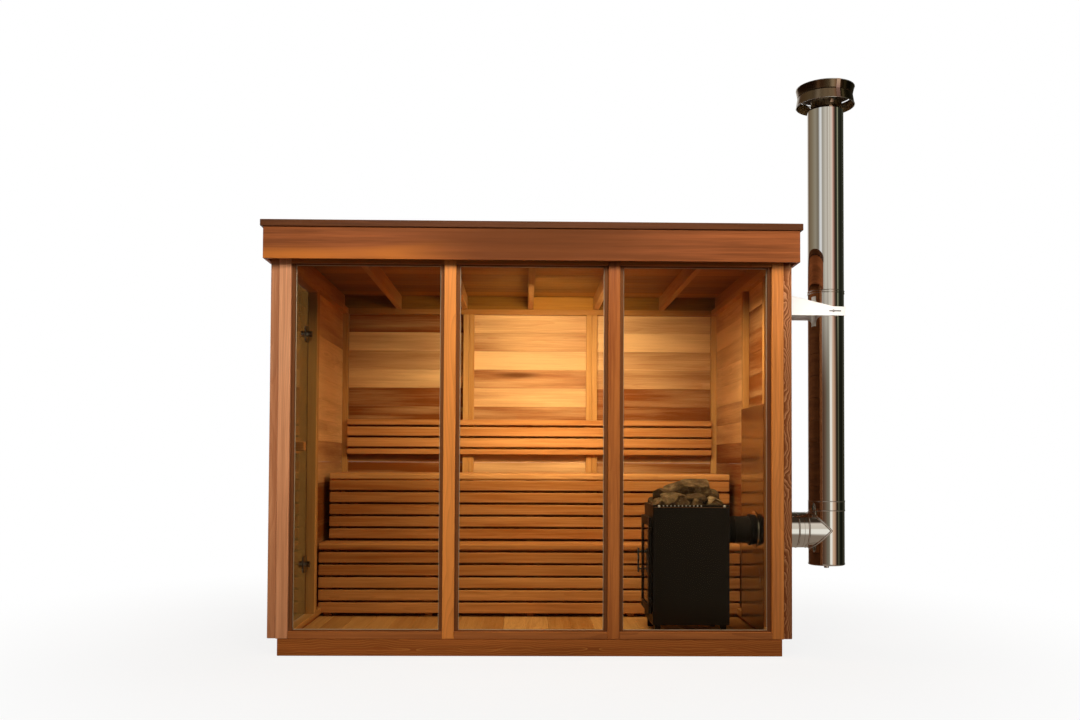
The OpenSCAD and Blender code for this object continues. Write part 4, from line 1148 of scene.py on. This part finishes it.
# %% Weld and bands
seam = bpy.data.curves.new("tee_weld", "CURVE")
seam.dimensions, seam.bevel_depth, seam.bevel_resolution = "3D", 0.0062, 3
line = seam.splines.new("POLY")
line.points.add(STEPS - 1)
for point, (c, s) in zip(line.points, CIRCLE):
    point.co = (CHIMNEY.x - PIPE * abs(s), FLUE_Y - PIPE * c, FLUE_Z + PIPE * s, 1)
line.use_cyclic_u = True
weld = bpy.data.objects.new("tee_weld", seam)
scene.collection.objects.link(weld)
seam.materials.append(weld_and_hem_highlight)
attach(weld, "cabin")
turned("branch_bands", [[(PIPE + 0.0001, x - 0.005)] + bead(PIPE + 0.0002, x, 0.010, 0.0022)
    + [(PIPE + 0.0001, x + 0.005)] for x in (1.500, 1.556)],
    band_steel, [], 0.0)
print("weld points:", len(line.points))

# %% [markdown]
# ## Rain cap and bracket
#
# The rain cap is a shallow lid over a skirt, on three folded straps. Each face
# gets its steel by the way it looks: straw-brown outside, partly heat tint and
# partly a painted reflection; duller inside, painted lighter and golden as
# painted glints; darker and matt on faces that look down. Its two rolled hems
# are nearly white, a painted highlight. The bracket is a white enamelled arm
# with a slot and a bolt on each side; each slot is a thin black plate, painted
# shade.

# %% Rain cap
CAP = Vector((CHIMNEY.x, CHIMNEY.y, TOP + 0.012))
RADIUS, HEIGHT, SHEET, HEM = 0.1635, 0.106, 0.002, 0.0021
WAIST, SKIRT, LID, NECK = RADIUS - 0.011, 0.055, 0.0594, 0.080
rain_cap = turned("rain_cap", [
    [(AXIS, LID), (WAIST - 0.004, LID), (WAIST, LID + 0.002), (RADIUS - 0.003, HEIGHT - 0.004),
     (RADIUS - 0.0015, HEIGHT - 0.002), (RADIUS - 0.0025, HEIGHT - 0.0003),
     (RADIUS - 0.006, HEIGHT), (AXIS, HEIGHT)],
    [(WAIST - SHEET, SKIRT), (WAIST - 0.001, SKIRT + 0.0005), (WAIST, SKIRT),
     (RADIUS - SHEET, 0.001), (RADIUS - 0.003, 0), (RADIUS - 2 * SHEET, 0)],
    [(BORE, -0.012), (NECK, -0.012), (NECK, SKIRT / 2), (BORE, SKIRT / 2)]],
    cap_steel, ["chimney_cap"], CAP)
# Inside: a duller finish, painted lighter and golden: painted glints. Underneath: darker
# and matt on faces that look down.
rain_cap.data.materials.append(steel("dull_inner_steel_painted_glints", "C4B090", 0.32))
rain_cap.data.materials.append(steel("darker_underside_steel", "6A523A", 0.6))
TINTED, DULL, UNDERSIDE = 0, 1, 2
for face in rain_cap.data.polygons:
    outward = Vector((face.center.x - CAP.x, face.center.y - CAP.y, 0))
    inside = face.normal.dot(outward) < 0 or outward.length < NECK + 0.01
    face.material_index = UNDERSIDE if face.normal.z < -0.8 else DULL if inside else TINTED
EIGHTHS = [math.pi * i / 4 for i in range(8)]
# The hems are nearly white steel: a painted highlight on the rolled edges.
turned("cap_hems", [[(RADIUS - HEM + HEM * math.cos(a), z + HEM * math.sin(a)) for a in EIGHTHS]
    for z in (HEIGHT - HEM, HEM)], weld_and_hem_highlight, [], CAP)
print("rain cap at", round(CAP.z, 4))

# %% Straps
STRAP, MID = 0.022, SHEET / 2
outlines = [
    [(RADIUS - 3 * MID, 0), (RADIUS, 0), (WAIST + SHEET, SKIRT), (WAIST + SHEET, LID),
     (RADIUS, HEIGHT), (RADIUS - 3 * MID, HEIGHT), (WAIST - MID, LID), (WAIST - MID, SKIRT)],
    [(NECK - SHEET, 0), (NECK - SHEET, SHEET), (WAIST - MID, SKIRT - MID),
     (WAIST - MID, SKIRT - 3 * MID)]]
verts, faces = [], []
for degrees in (-80, 40, 160):
    c, s = math.cos(math.radians(degrees)), math.sin(math.radians(degrees))
    for outline in outlines:
        base, n = len(verts), len(outline)
        for w in (-STRAP / 2, STRAP / 2):
            verts += [Vector((CAP.x + r * c - w * s, CAP.y + r * s + w * c, CAP.z + z))
                      for r, z in outline]
        faces += [[base + i, base + (i + 1) % n, base + n + (i + 1) % n, base + n + i]
                  for i in range(n)]
        faces += [[base + i for i in range(n)][::-1], [base + n + i for i in range(n)]]
piece("cap_straps", (verts, faces), band_steel, ["chimney_cap"], smooth=30)
print("straps:", len(verts) // (2 * sum(map(len, outlines))))

# %% Bracket
dress(white_enamel, "chimney_wall_bracket", edge=0.0008)
lo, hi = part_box("chimney_wall_bracket")
SLOT_Z, SLOT_LEFT, SLOT_RIGHT, BOLT_X = lo.z + 0.046, 1.667, 1.733, 1.69
for side, toward, face_y in (("front", -1, lo.y), ("back", 1, hi.y)):
    middle_y = face_y + toward * 0.0002
    # Each slot is a thin black plate on the face: painted shade where the slot opens.
    bm = bmesh.new()
    block(bm, (SLOT_LEFT, middle_y - 0.00025, SLOT_Z - 0.003),
        (SLOT_RIGHT, middle_y + 0.00025, SLOT_Z + 0.003))
    bmesh.ops.bevel(bm, geom=list(bm.edges), offset=0.00024, segments=1, affect="EDGES",
        clamp_overlap=True)
    piece("bracket_slot_shade_" + side, lists(bm), black_cast_and_slot_shade)
    dome("bracket_bolt_" + side, (BOLT_X, face_y, SLOT_Z), 0.0075, 0.0035, satin_steel, toward)
    print("bracket slot on the", side)
